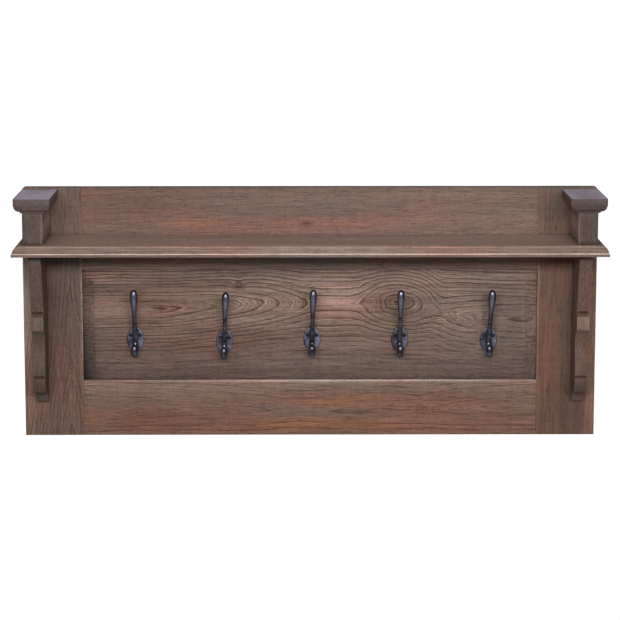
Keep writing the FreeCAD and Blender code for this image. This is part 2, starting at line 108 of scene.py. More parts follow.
def remap(tree, given, low, high, new_low=0.0, new_high=1.0):
    """Eases a value from one range to another and holds it at the ends."""
    sockets = {"Value": given, "From Min": low, "From Max": high, "To Min": new_low, "To Max": new_high}
    return add(tree, "ShaderNodeMapRange", sockets, interpolation_type="SMOOTHSTEP")


def blend(tree, amount, first, second, how="MIX"):
    """Mixes two colours."""
    sockets = {0: amount, 6: first, 7: second}
    return add(tree, "ShaderNodeMix", sockets, output=2, data_type="RGBA", blend_type=how)


def srgb(red, green, blue):
    """A colour picked on a 0-255 display scale, as the linear colour that a shader wants."""
    levels = [level / 255 for level in (red, green, blue)]
    return tuple(x / 12.92 if x < 0.04045 else ((x + 0.055) / 1.055) ** 2.4 for x in levels) + (1,)


def paint(name):
    """A new material, its node tree and its main shader."""
    material = bpy.data.materials.new(name)
    material.use_nodes = True
    tree = material.node_tree
    return material, tree, tree.nodes["Principled BSDF"]


print("a middle grey of 128 is", round(srgb(128, 128, 128)[0], 3), "to a shader")

# %% [markdown]
# ## Two softboxes
# The rack is lit from the front, as a pale room would light it. One wide softbox stands in front and only
# a little above, so the shelf throws a short, soft-edged shadow on the rail below it and the hooks throw
# theirs close by. A second one overhead lightens the tops of the caps and the shelf. Area lights are used
# because their size is what softens a shadow.

# %% Softboxes


def softbox(name, place, aim, width, height, watts):
    """A rectangular light that shines from a place towards a point."""
    beam = Vector(aim) - Vector(place)
    bpy.ops.object.select_all(action="DESELECT")
    bpy.ops.object.light_add(type="AREA", location=place)
    light = bpy.context.object
    light.name = name
    light.rotation_euler = beam.to_track_quat("-Z", "Y").to_euler()
    light.data.shape = "RECTANGLE"
    light.data.size = width
    light.data.size_y = height
    light.data.energy = watts
    print(name, "shines down at", round(math.degrees(math.asin(-beam.z / beam.length))), "degrees")


softbox("key_softbox", (0.1, -3.5, 0.81), TARGET, 3.2, 0.4, 120)
softbox("top_softbox", (0.0, -0.6, 2.0), (0, -0.1, 0), 2.4, 0.7, 30)

# %% [markdown]
# ## Sky and floor
# The sky is white where the camera sees it, but as a light it is weak, which keeps the underside of the
# shelf dark. One background can't be both, so a light path picks between two. A pale floor lies well
# below, because the rack hangs on a wall and doesn't stand on anything, and it sends a little light back
# up.

# %% Sky and floor
FLOOR_HEIGHT = -1.6
FLOOR_SIZE = 3.6

world = bpy.data.worlds.new("studio_sky")
bpy.context.scene.world = world
world.use_nodes = True
sky = world.node_tree
sky.nodes.clear()
seen = add(sky, "ShaderNodeBackground", {"Color": (1, 1, 1, 1), "Strength": 1.05})
glow = add(sky, "ShaderNodeBackground", {"Color": (0.95, 0.97, 1.0, 1), "Strength": 0.16})
by_camera = add(sky, "ShaderNodeLightPath")
picked = add(sky, "ShaderNodeMixShader", {0: by_camera, 1: glow, 2: seen})
sky.links.new(picked, sky.nodes.new("ShaderNodeOutputWorld").inputs[0])

bpy.ops.object.select_all(action="DESELECT")
bpy.ops.mesh.primitive_plane_add(size=FLOOR_SIZE, location=(0, 0, FLOOR_HEIGHT))
floor = bpy.context.object
floor.name = "studio_floor"
floor_paint, _, floor_shader = paint("pale_floor")
floor_shader.inputs["Base Color"].default_value = (0.86, 0.86, 0.85, 1)
floor_shader.inputs["Roughness"].default_value = 0.8
floor.data.materials.append(floor_paint)
print("floor at", FLOOR_HEIGHT, "m")

# %% [markdown]
# ## The grain
# The real boards are an open-grained wood, wire-brushed so that the soft early wood is worn hollow and
# the hard rings stand up, then stained a greyed brown and waxed. The material follows the same order:
# grain, ring marks, stain, wear. Grain is partly noise, stretched along the board: fibres, streaks,
# pores, and red and grey patches. Saw marks lie across it. The rings themselves can't be noise, because
# cathedrals and knots have to be placed, so each board's mesh carries a field called `growth` that counts
# them. Three more fields come with it: `relief` says how strongly the rings are marked, `tone` how light
# the wood is and `warmth` how red.

# %% The grain
NOISES = {    # cycles per metre along the grain and across it, then seed, detail and roughness
    "fibre": (14, 330, 0, 5, 0.68),
    "streak": (2.2, 75, 3, 3, 0.55),
    "gap": (14, 90, 7, 2, 0.5),
    "pore": (60, 620, 11, 1, 0.5),
    "saw": (240, 18, 13, 2, 0.5),
    "red_patch": (2.6, 11, 17, 3, 0.6),
    "grey_patch": (3.1, 13, 23, 3, 0.6),
}
FIELDS = ("growth", "relief", "tone", "warmth")


def grainy(tree, stretch, seed, detail=2.0, roughness=0.5):
    """Noise in object space, with its own scale per axis in cycles per metre."""
    place = add(tree, "ShaderNodeTexCoord", output=3)
    shift = (seed, seed * 1.7, seed * 0.6)
    moved = add(tree, "ShaderNodeMapping", {"Vector": place, "Location": shift, "Scale": stretch})
    sockets = {"Vector": moved, "Scale": 1.0, "Detail": detail, "Roughness": roughness}
    return add(tree, "ShaderNodeTexNoise", sockets)


def stored(tree, name):
    """A number that was stored on the mesh's vertices."""
    return add(tree, "ShaderNodeAttribute", output=2, attribute_name=name)


def read_grain(tree, axis, seed):
    """A board's noises and stored fields, by name."""
    grain = {name: stored(tree, name) for name in FIELDS}
    for name, (along, across, shift, detail, roughness) in NOISES.items():
        stretch = tuple(along if letter == axis else across for letter in "XYZ")
        grain[name] = grainy(tree, stretch, seed + shift, detail, roughness)
    return grain


print("grain from", sorted(NOISES), "and", FIELDS)

# %% [markdown]
# ## The marks of the rings
# `growth` counts rings, so its fractional part tells where between two rings a point lies. A curve over
# that fraction draws a dark groove at the end of each ring, where the early wood was brushed out and the
# stain gathered. Some rings are marked more than others, each line breaks up along its length, and in
# places finer lines run between the rings. Just past a groove the hard edge of the next ring catches the
# light. The fibres are added to `growth` first, so the lines fray.

# %% Ring marks
RING_GROOVE = [(0.0, 0.2), (0.04, 0.0), (0.62, 0.04), (0.82, 0.3), (0.92, 1.0), (1.0, 0.2)]
FINE_LINE = [(0.0, 0.0), (0.6, 0.0), (0.86, 1.0), (1.0, 0.0)]
LIT_EDGE = [(0.0, 0.3), (0.06, 1.0), (0.3, 0.0), (1.0, 0.3)]
FRAY = 0.3
FINE_LINES_PER_RING = 4.0


def stripes(tree, given, stops):
    """A curve through (position, grey) stops."""
    fade = tree.nodes.new("ShaderNodeValToRGB")
    tree.links.new(given, fade.inputs[0])
    while len(fade.color_ramp.elements) < len(stops):
        fade.color_ramp.elements.new(0.5)
    for element, (position, grey) in zip(fade.color_ramp.elements, stops):
        element.position = position
        element.color = (grey, grey, grey, 1)
    return fade.outputs[0]


def ring_marks(tree, grain):
    """How deep the groove is at each point, and how much of the lit edge beside it, both from 0 to 1."""
    fray = times(tree, calc(tree, "SUBTRACT", grain["fibre"], 0.5), FRAY)
    frayed = calc(tree, "ADD", grain["growth"], fray)
    ring = calc(tree, "FRACT", frayed)
    year = add(tree, "ShaderNodeTexWhiteNoise", {"W": calc(tree, "FLOOR", frayed)}, noise_dimensions="1D")
    unbroken = remap(tree, grain["gap"], 0.34, 0.62, 0.3, 1.0)
    kept = times(tree, unbroken, remap(tree, year, 0.1, 0.9, 0.3, 1.35))
    fine = calc(tree, "FRACT", times(tree, frayed, FINE_LINES_PER_RING))
    thin = times(tree, stripes(tree, fine, FINE_LINE), remap(tree, grain["streak"], 0.46, 0.62, 0, 0.42))
    groove = calc(tree, "ADD", times(tree, stripes(tree, ring, RING_GROOVE), kept), thin)
    edge = times(tree, stripes(tree, ring, LIT_EDGE), kept)
    return [times(tree, mark, grain["relief"], clamp=True) for mark in (groove, edge)]


print("a groove is deepest at", max(RING_GROOVE, key=lambda stop: stop[1])[0], "of a ring")

# %% [markdown]
# ## The stain
# The stain took unevenly. Patches are redder or greyer than the base colour, and where `tone` is high the
# colour moves to pale bare wood: mostly where the finish is worn through, and in a few places as painted
# light. Streaks, fibres, saw marks and pores then lighten and darken the colour by small factors, the lit
# edge beside each groove is painted lighter as a highlight, and the grooves are filled with a dark brown.

# %% The stain
WORN_AND_LIT_WOOD = srgb(122, 109, 102)
WHITE = (1, 1, 1, 1)
GROOVE_BROWN = (0.36, 0.29, 0.27, 1)


def stained(tree, grain, tones, groove, edge, pores, depth):
    """The wood's colour before wear. `tones` are its base, red and grey colours."""
    base, red, grey = tones
    warmth = grain["warmth"]
    reddish = calc(tree, "ADD", remap(tree, grain["red_patch"], 0.46, 0.7, 0, 0.6), warmth, clamp=True)
    greyish = calc(tree, "SUBTRACT", remap(tree, grain["grey_patch"], 0.42, 0.68, 0, 0.7), warmth, clamp=True)
    colour = blend(tree, greyish, base, grey)
    colour = blend(tree, reddish, colour, red)
    colour = blend(tree, remap(tree, grain["tone"], 0.6, 1.7, 0, 0.8), colour, WORN_AND_LIT_WOOD)

    light = calc(tree, "ADD", grain["tone"], 1.0)
    for factor in (remap(tree, grain["streak"], 0.3, 0.7, 0.87, 1.13),
                   remap(tree, grain["fibre"], 0.30, 0.70, 0.70, 1.27),
                   remap(tree, grain["saw"], 0.3, 0.7, 0.95, 1.05),
                   calc(tree, "SUBTRACT", 1.0, times(tree, pores, 0.22)),
                   # the lit edge beside each groove, painted lighter as a highlight
                   calc(tree, "ADD", 1.0, times(tree, edge, 0.3 * depth))):
        light = times(tree, light, factor)
    lit = add(tree, "ShaderNodeCombineXYZ", {0: light, 1: light, 2: light})
    shade = blend(tree, times(tree, groove, 0.72 * depth), WHITE, GROOVE_BROWN)
    colour = blend(tree, 1.0, colour, lit, "MULTIPLY")
    return blend(tree, 1.0, colour, shade, "MULTIPLY")


print("bare wood", [round(level, 3) for level in WORN_AND_LIT_WOOD[:3]])

# %% [markdown]
# ## The wear, painted highlights and painted shade
# Hands and cloths rub the stain off the arrises, and these paler arrises also serve as painted highlights.
# The corners are darkened as painted shade. A Bevel node gives the normal that the surface would have if
# it were rounded, so wherever it differs from the true normal there is an arris, and an Ambient Occlusion
# node finds the corners. Very dark spots aren't rubbed. On the caps, which nobody wipes, dust greys the
# faces that look up.

# %% The wear and painted light
DUST = srgb(162, 150, 166)
PAINTED_CORNER_SHADE = (0.45, 0.38, 0.38, 1)
RUBBED_AND_HIGHLIGHT_PALER = (1.75, 1.7, 1.62, 1)
ARRIS_REACH, CORNER_REACH = 2.6, 14.0


def worn_and_shaded(tree, grain, colour, dusty):
    """The colour with dust on top, rubbed arrises that also serve as painted highlights, and painted shade in
    the corners.
    """
    normal = add(tree, "ShaderNodeNewGeometry", output=1)
    if dusty:
        up = add(tree, "ShaderNodeSeparateXYZ", {0: normal}, output=2)
        patchy = remap(tree, grain["grey_patch"], 0.35, 0.6, 0.6, 1)
        settled = times(tree, remap(tree, up, 0.6, 0.9, 0, dusty), patchy)
        colour = blend(tree, settled, colour, DUST)
    # paler arrises: rubbed wear that also serves as a painted highlight
    rounded = add(tree, "ShaderNodeBevel", {"Radius": ARRIS_REACH * MM}, samples=4)
    turn = add(tree, "ShaderNodeVectorMath", {0: rounded, 1: normal}, output=1, operation="DOT_PRODUCT")
    rubbed_and_highlit = times(tree, remap(tree, turn, 0.985, 0.86), remap(tree, grain["gap"], 0.3, 0.6, 0.05, 0.6))
    rubbed_and_highlit = times(tree, rubbed_and_highlit, remap(tree, grain["tone"], -0.45, -0.15))
    pale = blend(tree, 1.0, colour, RUBBED_AND_HIGHLIGHT_PALER, "MULTIPLY")
    colour = blend(tree, rubbed_and_highlit, colour, pale)
    # painted shade: ambient occlusion darkens the corners
    corner = add(tree, "ShaderNodeAmbientOcclusion", {"Distance": CORNER_REACH * MM}, output=1, samples=6)
    painted_corner_shade = blend(tree, remap(tree, corner, 0.3, 0.8, 0.75, 0.0), WHITE, PAINTED_CORNER_SHADE)
    return blend(tree, 1.0, colour, painted_corner_shade, "MULTIPLY")


print("arrises are rubbed within", ARRIS_REACH, "mm")

# %% [markdown]
# ## The whole wood
# The last step joins the layers on one shader and adds a bump. Fibres and saw marks stand up a little,
# and grooves and pores go in. `depth` says how deep a board was brushed, and so how strong its rings are.

# %% The whole wood
PORE_DEPTH, FIBRE_HEIGHT, SAW_HEIGHT = 0.35, 0.5, 0.12


def wood(name, axis, tones, seed, depth=1.0, dusty=0.0):
    """Brushed, stained and worn wood whose grain runs along an axis."""
    material, tree, shader = paint(name)
    grain = read_grain(tree, axis, seed)
    groove, edge = ring_marks(tree, grain)
    pores = remap(tree, grain["pore"], 0.60, 0.70)
    colour = worn_and_shaded(tree, grain, stained(tree, grain, tones, groove, edge, pores, depth), dusty)

    height = calc(tree, "SUBTRACT", times(tree, grain["fibre"], FIBRE_HEIGHT), times(tree, groove, depth))
    height = calc(tree, "SUBTRACT", height, times(tree, pores, PORE_DEPTH))
    height = calc(tree, "ADD", height, times(tree, grain["saw"], SAW_HEIGHT))
    reach = (0.4 + 0.85 * depth) * MM
    bump = add(tree, "ShaderNodeBump", {"Height": height, "Strength": 1.0, "Distance": reach})
    tree.links.new(colour, shader.inputs["Base Color"])
    tree.links.new(remap(tree, grain["fibre"], 0.3, 0.7, 0.5, 0.68), shader.inputs["Roughness"])
    tree.links.new(bump, shader.inputs["Normal"])
    shader.inputs["Specular IOR Level"].default_value = 0.35
    return material


# %% [markdown]
# ## One stain, many boards
# The boards were stained together but come from different trees, so each takes the colour its own way:
# redder or greyer, and lighter or darker. The panel was brushed deepest, and only the caps are dusty.

# %% The boards' materials
RED = srgb(122, 84, 68)
GREY = srgb(104, 87, 76)
BOARD_LOOKS = {    # the grain's axis, then base, red and grey, then seed, depth and dust
    "top_rail": ("X", srgb(112, 87, 76), RED, GREY, 1.3, 0.6, 0),
    "bottom_rail": ("X", srgb(118, 90, 76), srgb(126, 84, 62), GREY, 9.1, 0.8, 0),
    "stile_left": ("Z", srgb(99, 78, 68), RED, GREY, 17.7, 0.8, 0),
    "stile_right": ("Z", srgb(102, 76, 62), srgb(118, 78, 58), srgb(92, 76, 66), 25.2, 0.6, 0),
    "panel": ("X", srgb(136, 111, 99), srgb(118, 84, 70), srgb(113, 95, 84), 33.4, 1.3, 0),
    "shelf": ("X", srgb(122, 99, 88), srgb(124, 91, 76), srgb(110, 94, 84), 41.9, 0.6, 0),
    "cap": ("Y", srgb(88, 73, 68), srgb(92, 74, 66), srgb(84, 73, 66), 49.5, 0.5, 0.75),
    "post": ("Z", srgb(88, 73, 66), srgb(92, 72, 63), srgb(84, 73, 65), 57.8, 0.6, 0),
    "corbel": ("Z", srgb(86, 68, 61), srgb(104, 76, 63), srgb(84, 71, 63), 65.1, 0.6, 0),
}

woods = {}
for name, (axis, base, red, grey, seed, depth, dusty) in BOARD_LOOKS.items():
    woods[name] = wood(name + "_wood", axis, (base, red, grey), seed, depth, dusty)
print("woods", sorted(woods))

# %% [markdown]
# ## The metals and the pegs
# The hooks are cast iron with a gun-black finish: nearly black and smooth enough for long highlights. A
# field stored on their mesh paints light onto them: a highlight on the front of each bulb, and a lighter
# plate, most of all on its right. The screws that hold them are plain black. Behind the rack, where nobody
# looks, are zinc-plated screws and two stamped keyhole plates. The pegs inside are beech.

# %% The metals and the pegs


def metal(name, colour, rubbed_and_lit_colour, roughness, seed, wax=0.0):
    """Metal with a fine cast or plated texture, paler rubbed edges, painted light where its mesh stores a
    field for it, and perhaps a glossy wax.
    """
    material, tree, shader = paint(name)
    cloud = grainy(tree, (90, 90, 90), seed, 3, 0.6)
    pits = grainy(tree, (700, 700, 700), seed + 5, 2)
    pointed = add(tree, "ShaderNodeNewGeometry", output=7)
    edge = times(tree, remap(tree, pointed, 0.52, 0.62), remap(tree, cloud, 0.35, 0.65, 0.2, 0.8))
    # a stored field paints light on the hooks: a highlight on the bulb and light on the plate
    edge = calc(tree, "MAXIMUM", edge, stored(tree, "painted_light"))
    tone = blend(tree, remap(tree, cloud, 0.3, 0.7, 0, 0.5), colour, rubbed_and_lit_colour)
    patchy = remap(tree, cloud, 0.3, 0.7, roughness - 0.06, roughness + 0.1)
    bump = add(tree, "ShaderNodeBump", {"Height": pits, "Strength": 0.25, "Distance": 0.15 * MM})
    tree.links.new(blend(tree, edge, tone, rubbed_and_lit_colour), shader.inputs["Base Color"])
    tree.links.new(patchy, shader.inputs["Roughness"])
    tree.links.new(bump, shader.inputs["Normal"])
    shader.inputs["Metallic"].default_value = 0.9
    shader.inputs["Coat Weight"].default_value = wax
    shader.inputs["Coat Roughness"].default_value = 0.24
    return material


# the hooks' paler colour serves both their rubbed edges and their painted light
gun_black = metal("hook_iron", srgb(34, 29, 36), srgb(122, 121, 140), 0.34, 71.0, wax=0.3)
screw_black = metal("hook_screw_black", srgb(38, 36, 40), srgb(70, 68, 74), 0.4, 73.0)
zinc = metal("screw_steel", srgb(150, 148, 140), srgb(190, 190, 184), 0.35, 77.0)
stamped = metal("hanger_steel", srgb(160, 162, 166), srgb(200, 202, 206), 0.3, 79.0)

beech, beech_tree, beech_shader = paint("peg_wood")
beech_grain = grainy(beech_tree, (500, 500, 20), 81.0)
beech_tint = blend(beech_tree, beech_grain, srgb(190, 158, 120), srgb(214, 186, 150))
beech_tree.links.new(beech_tint, beech_shader.inputs["Base Color"])
beech_shader.inputs["Roughness"].default_value = 0.7
print("metals and pegs", [finish.name for finish in (gun_black, screw_black, zinc, stamped, beech)])

# %% [markdown]
# ## Helpers for selecting and editing
# Blender's operators act on whatever is selected, so most mistakes in a script come from a stale
# selection. These helpers say which piece is meant, open it in edit mode and pick its parts by a test on
# their place or direction.

# %% Selecting and editing


def named(name):
    """Names the piece that was just made, and its mesh."""
    piece = bpy.context.object
    piece.name = name
    piece.data.name = name
    return piece


def selected(*pieces):
    """Selects only these pieces and makes the first one active."""
    bpy.ops.object.select_all(action="DESELECT")
    for piece in pieces:
        piece.select_set(True)
    bpy.context.view_layer.objects.active = pieces[0]


def settle():
    """Puts the selected piece's place, turn and size into its mesh, so its object sits at the origin."""
    bpy.ops.object.transform_apply(location=True, rotation=True, scale=True)


@contextmanager
def editing(piece):
    """Opens a piece in edit mode with everything selected, and closes it again."""
    selected(piece)
    bpy.ops.object.mode_set(mode="EDIT")
    bpy.ops.mesh.select_all(action="SELECT")
    yield
    bpy.ops.object.mode_set(mode="OBJECT")


def face_outwards():
    """In edit mode, turns every normal outwards."""
    bpy.ops.mesh.select_all(action="SELECT")
    bpy.ops.mesh.normals_make_consistent(inside=False)


def pick(piece, kind, test):
    """In edit mode, selects the edges or faces that pass a test."""
    bpy.ops.mesh.select_mode(type=kind)
    bpy.ops.mesh.select_all(action="DESELECT")
    shape = bmesh.from_edit_mesh(piece.data)
    for part in {"EDGE": shape.edges, "FACE": shape.faces}[kind]:
        if test(part):
            part.select_set(True)
    bmesh.update_edit_mesh(piece.data)


# %% [markdown]
# ## Helpers for boards
# A board starts as a plain block at its size and place. Its arrises are eased, because a machine-sharp
# edge never looks like wood, and then it is sliced into cells along and across the grain, so that fields
# such as `growth` can be stored on its vertices. A last small push makes faces and arrises wander a
# little, as they do on hand-finished wood.

# %% Boards
FACE, BACK = -22.0, -0.3     # the frame's front and back, as places on Y
SMOOTH_ANGLE = 32            # degrees
SHORT_EDGE = 8.0             # an edge up to this long isn't divided
MOST_CUTS = 100              # and no edge is divided more often than this


def ease(angle, width):
    """In edit mode, rounds every edge sharper than an angle."""
    bpy.ops.mesh.select_mode(type="EDGE")
    bpy.ops.mesh.select_all(action="DESELECT")
    bpy.ops.mesh.edges_select_sharp(sharpness=math.radians(angle))
    bpy.ops.mesh.bevel(offset=width * MM, segments=2, affect="EDGES", clamp_overlap=True)


def slice_up(piece, axis, cell):
    """In edit mode, divides the long edges along an axis, which makes slabs about `cell` thick."""

    def runs_along(edge):
        line = edge.verts[1].co - edge.verts[0].co
        return abs(line[axis]) > 0.98 * line.length and line.length > SHORT_EDGE * MM

    pick(piece, "EDGE", runs_along)
    lengths = [edge.calc_length() for edge in bmesh.from_edit_mesh(piece.data).edges if edge.select]
    cuts = round(max(lengths) / (cell * MM)) - 1
    if cuts > 0:
        bpy.ops.mesh.subdivide(number_cuts=min(cuts, MOST_CUTS))


def dice(piece, cells):
    """In edit mode, slices a piece into cells along X, Y and Z. A 0 leaves that axis whole."""
    for axis, cell in enumerate(cells):
        if cell:
            slice_up(piece, axis, cell)


def carve(piece, cutter):
    """Takes a cutter's shape out of a piece, and removes the cutter."""
    selected(piece)
    cut = piece.modifiers.new("carve", "BOOLEAN")
    cut.operation = "DIFFERENCE"
    cut.solver = "EXACT"
    cut.object = cutter
    bpy.ops.object.modifier_apply(modifier=cut.name)
    bpy.data.objects.remove(cutter)


def wander(piece, amount, seed):
    """Pushes vertices by broad and fine smooth noise, as hand planing and wear would."""
    for vertex in piece.data.vertices:
        spot = vertex.co * 14 + Vector((seed, seed, seed))
        fine = vertex.co * 90 + Vector((seed, 0, seed))
        push = Vector((noise.noise(spot), noise.noise(spot.zxy), noise.noise(spot.yzx)))
        vertex.co += (push + 0.6 * Vector((noise.noise(fine), 0, noise.noise(fine.zxy)))) * amount * MM


def finished(piece, material):
    """Makes normals point out, shades smooth between soft angles and gives the piece its material."""
    with editing(piece):
        face_outwards()
    selected(piece)
    bpy.ops.object.shade_smooth_by_angle(angle=math.radians(SMOOTH_ANGLE))
    piece.data.materials.clear()
    piece.data.materials.append(material)


def stands_in(piece, node):
    """Puts a finished piece on the rack's one body, in place of a CAD node, which it hides."""
    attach(piece, "root")
    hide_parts(node)
    print(piece.name, "has", len(piece.data.polygons), "faces")


def block(name, low, high):
    """A plain block between two corners given in millimetres."""
    low, high = Vector(low) * MM, Vector(high) * MM
    bpy.ops.object.select_all(action="DESELECT")
    bpy.ops.mesh.primitive_cube_add(size=1, location=(low + high) / 2)
    piece = named(name)
    piece.scale = high - low
    settle()
    return piece


def board(name, low, high, cells, arris=0.8):
    """A block with eased arrises, sliced into cells."""
    piece = block(name, low, high)
    with editing(piece):
        ease(30, arris)
        dice(piece, cells)
    return piece


def rod(place, radius, length, sides=32):
    """A round rod that points out of the wall, centred on a place."""
    bpy.ops.object.select_all(action="DESELECT")
    bpy.ops.mesh.primitive_cylinder_add(vertices=sides, radius=radius * MM, depth=length * MM,
                                        rotation=(math.pi / 2, 0, 0), location=Vector(place) * MM)
    return bpy.context.object


# %% [markdown]
# ## Rings on the boards
# A flat-sawn board shows nested arches, called cathedrals, where the saw met the rings at a slant. Along
# the board's middle line the ring number rises and falls as the trunk swells and shrinks: a tip points
# along the rise, and a closed eye forms around a dip. Away from the middle line the rings crowd together.
# So the field is a curve along the board plus a distance from the middle line, with some noise. A knot is
# a small mound of extra rings, which the other rings flow around. Soft spots on top make a board lighter
# or darker, redder or greyer, and smoother or rougher in places. The numbers are given for each board.

# %% The growth field


def figure(piece, axes, crest, middle, rate, seed, spots=(), blunt=8.0, wave=0.35, skew=0.05, rough=1.0,
           hold=1000.0, knots=()):
    """Stores growth, relief, tone and warmth on a board's vertices. All lengths are millimetres.

    `axes` names the axes along the grain, across it and into the board. `crest` is the ring number and
    `middle` the place of the middle line, both as (along, number) lists. `rate` is rings per millimetre on
    the two sides of the middle line, and the crest's own ups and downs fade out over `hold` on either side.
    `blunt` rounds the arches' tips, `wave` is how much the rings waver, `skew` tilts them into the board
    and `rough` is how strongly they are marked.
    A spot is (along, across, reach along, reach across, tone, warmth, relief).
    A knot is (along, across, reach, extra rings).
    """
    mesh = piece.data
    order = ["XYZ".index(letter) for letter in axes]
    places = np.zeros(len(mesh.vertices) * 3)
    mesh.vertices.foreach_get("co", places)
    along, across, into = (places.reshape(-1, 3) / MM)[:, order].T

    def eased(curve):
        return sum(np.interp(along + shift, *zip(*curve)) for shift in (-12, -5, 5, 12)) / 4

    off = across - eased(middle)
    spread = np.where(off > 0, rate[0], rate[1]) * (np.sqrt(off ** 2 + blunt ** 2) - blunt)
    wobble = np.array([
        noise.noise(Vector((u / 130 + seed, v / 26, seed)))
        + 0.3 * noise.noise(Vector((u / 36, v / 9, seed)))
        for u, v in zip(along, across)])
    ridge = eased(crest)
    calm = float(np.median([number for _, number in crest]))
    held = 0.2 + 0.8 * np.exp(-(off / hold) ** 2)
    growth = calm + (ridge - calm) * held + spread + into * skew + wave * wobble
    for u, v, reach, rings in knots:
        growth += rings * np.exp(-((along - u) / (1.5 * reach)) ** 2 - ((across - v) / reach) ** 2)
    fields = {"growth": growth, "relief": np.full(len(growth), rough), "tone": np.zeros(len(growth)),
              "warmth": np.zeros(len(growth))}
    for u, v, reach_u, reach_v, tone, warmth, relief in spots:
        near = np.exp(-((along - u) / reach_u) ** 2 - ((across - v) / reach_v) ** 2)
        for name, change in (("tone", tone), ("warmth", warmth), ("relief", relief)):
            fields[name] += near * change
    for name, numbers in fields.items():
        mesh.attributes.new(name, "FLOAT", "POINT").data.foreach_set("value", numbers.astype(np.float32))
    return growth


# %% [markdown]
# ## The frame's stiles
# Four boards, 22 mm thick, make the frame: two stiles run its full height and the rails are tenoned
# between them. Each is modelled as a block a hair short of the back plane, so that the hanger plates and
# screw heads at the back stand just proud of the wood. A stile's outer top corner is rounded with a
# boolean: a small block, with a round rod taken out of it, is just what a saw would remove.

# %% Stiles
HALF_WIDTH, INNER = 570.0, 453.0
TOP, BOTTOM = 60.0, -440.0
CORNER_RADIUS = 8.0
SPARE = 5.0     # how far a cutter reaches past the wood


def stile(name, side):
    """One stile, on the left (-1) or on the right (1)."""
    low, high = sorted((side * INNER, side * HALF_WIDTH))
    piece = board(name, (low, FACE, BOTTOM), (high, BACK, TOP), cells=(6, 0, 10))
    corner = block(name + "_corner", (side * HALF_WIDTH - CORNER_RADIUS, FACE - SPARE, TOP - CORNER_RADIUS),
                   (side * HALF_WIDTH + CORNER_RADIUS, SPARE, TOP + CORNER_RADIUS))
    round_centre = (side * (HALF_WIDTH - CORNER_RADIUS), FACE / 2, TOP - CORNER_RADIUS)
    carve(corner, rod(round_centre, CORNER_RADIUS, length=60, sides=64))
    carve(piece, corner)
    return piece


stile_left = stile("stile_left_board", -1)
figure(
    stile_left, "ZXY",
    [(-440, 1.6), (-371, 3.0), (-291, 5.0), (-147, 7.0), (-60, 7.9), (60, 8.8)],
    [(-440, -476), (60, -480)], rate=(0.11, 0.13), seed=3.1,
    spots=[
        (-330, -500, 130, 90, -0.05, 0.45, 0.2),    # a redder foot
        (-360, -480, 130, 90, 0, 0, 0.4),           # with stronger rings
        (-120, -520, 120, 90, -0.14, -0.1, 0),      # a darker middle
        (-230, -500, 90, 30, -0.1, 0, 0),
        (20, -540, 60, 60, 0.04, 0.35, 0),          # a redder head
        (-180, -566, 170, 22, 1.4, 0, 0),           # the outer side beside the corbel, painted light against the corbel's shadow
        (-200, -453, 160, 1.3, 1.5, -0.2, -0.6),    # the inner arris, worn
        (-300, -478, 34, 12, 0, 0.1, 1.6),          # two deep arch tips
        (-158, -478, 34, 12, 0, 0.1, 1.6),
        (61, -510, 2.2, 90, -0.5, -0.8, 0),         # dark end grain on top
    ],
    blunt=4, rough=0.55)
stile_right = stile("stile_right_board", 1)
figure(
    stile_right, "ZXY", [(-440, 3.0), (60, 0.5)], [(-440, 640), (60, 625)], rate=(0.1, 0.1), seed=4.7,
    spots=[
        (-250, 475, 240, 22, 0.0, 0.5, 0),          # a red band along the inner side
        (-380, 520, 120, 60, -0.14, 0.2, 0),        # a darker foot
        (-390, 500, 70, 60, -0.15, 0.1, 0),
        (-330, 555, 160, 35, -0.16, 0.0, 0),
        (20, 470, 80, 30, -0.06, -0.2, 0),          # a greyer head
        (-250, 562, 300, 14, 0.7, 0, 0),            # the outer side beside the corbel, painted light against the corbel's shadow
        (-200, 453, 160, 1.3, 1.0, 0, -0.6),        # the inner arris, worn
        (61, 510, 2.2, 90, -0.5, -0.8, 0),          # dark end grain on top
    ],
    rough=0.35)

# %% [markdown]
# ## The frame's rails
# The rails run between the stiles. The top rail is plain and quiet, with two small knots. The bottom rail
# has a livelier figure: long arches from the left run to the middle, and past it lie a small closed eye
# and a knot.

# %% Rails
RAIL_UNDER, RAIL_OVER = -104.0, -328.0     # the top rail's lower edge and the bottom rail's upper one

top_rail = board("top_rail_board", (-INNER, FACE, RAIL_UNDER), (INNER, BACK, TOP), cells=(9, 0, 2.5))
figure(
    top_rail, "XZY", [(-453, 0), (-20, 1.3), (453, 0.2)], [(-453, 128), (60, 150), (453, 120)],
    rate=(0.1, 0.1), seed=5.9,
    spots=[
        (-240, -12, 62, 9, 0.3, 0.7, -0.3),         # a smooth orange patch
        (-8, -14, 10, 5, -0.42, 0.3, 1.4),          # the two knots' dark hearts
        (178, 22, 10, 5, -0.2, 0.1, 0.7),
        (-330, 15, 110, 50, -0.2, 0.4, 0),          # a dark red left end
        (-440, 15, 25, 60, 0.02, 0.4, 0),
        (60, -10, 120, 16, 0.02, 0.4, 0),           # a red streak under a grey one
        (60, 20, 90, 30, 0, -0.35, 0),
        (330, 30, 120, 40, 0.05, 0.1, 0),           # a lighter right end
        (300, 0, 260, 90, 0.1, 0.05, 0),
        (0, 55, 400, 8, -0.12, 0.1, 0),             # a darker upper edge
        (0, 61, 2000, 2.2, -0.5, -0.8, 0),          # dirt on top
        (0, -58, 2000, 10, -0.5, 0, 0),             # painted shade just under the shelf
        (40, -94, 360, 20, 0.2, -0.1, 1.1),         # rougher and paler below the shelf
    ],
    rough=0.3, knots=[(-8, -14, 6, 2.2), (178, 22, 5, 1.4)])

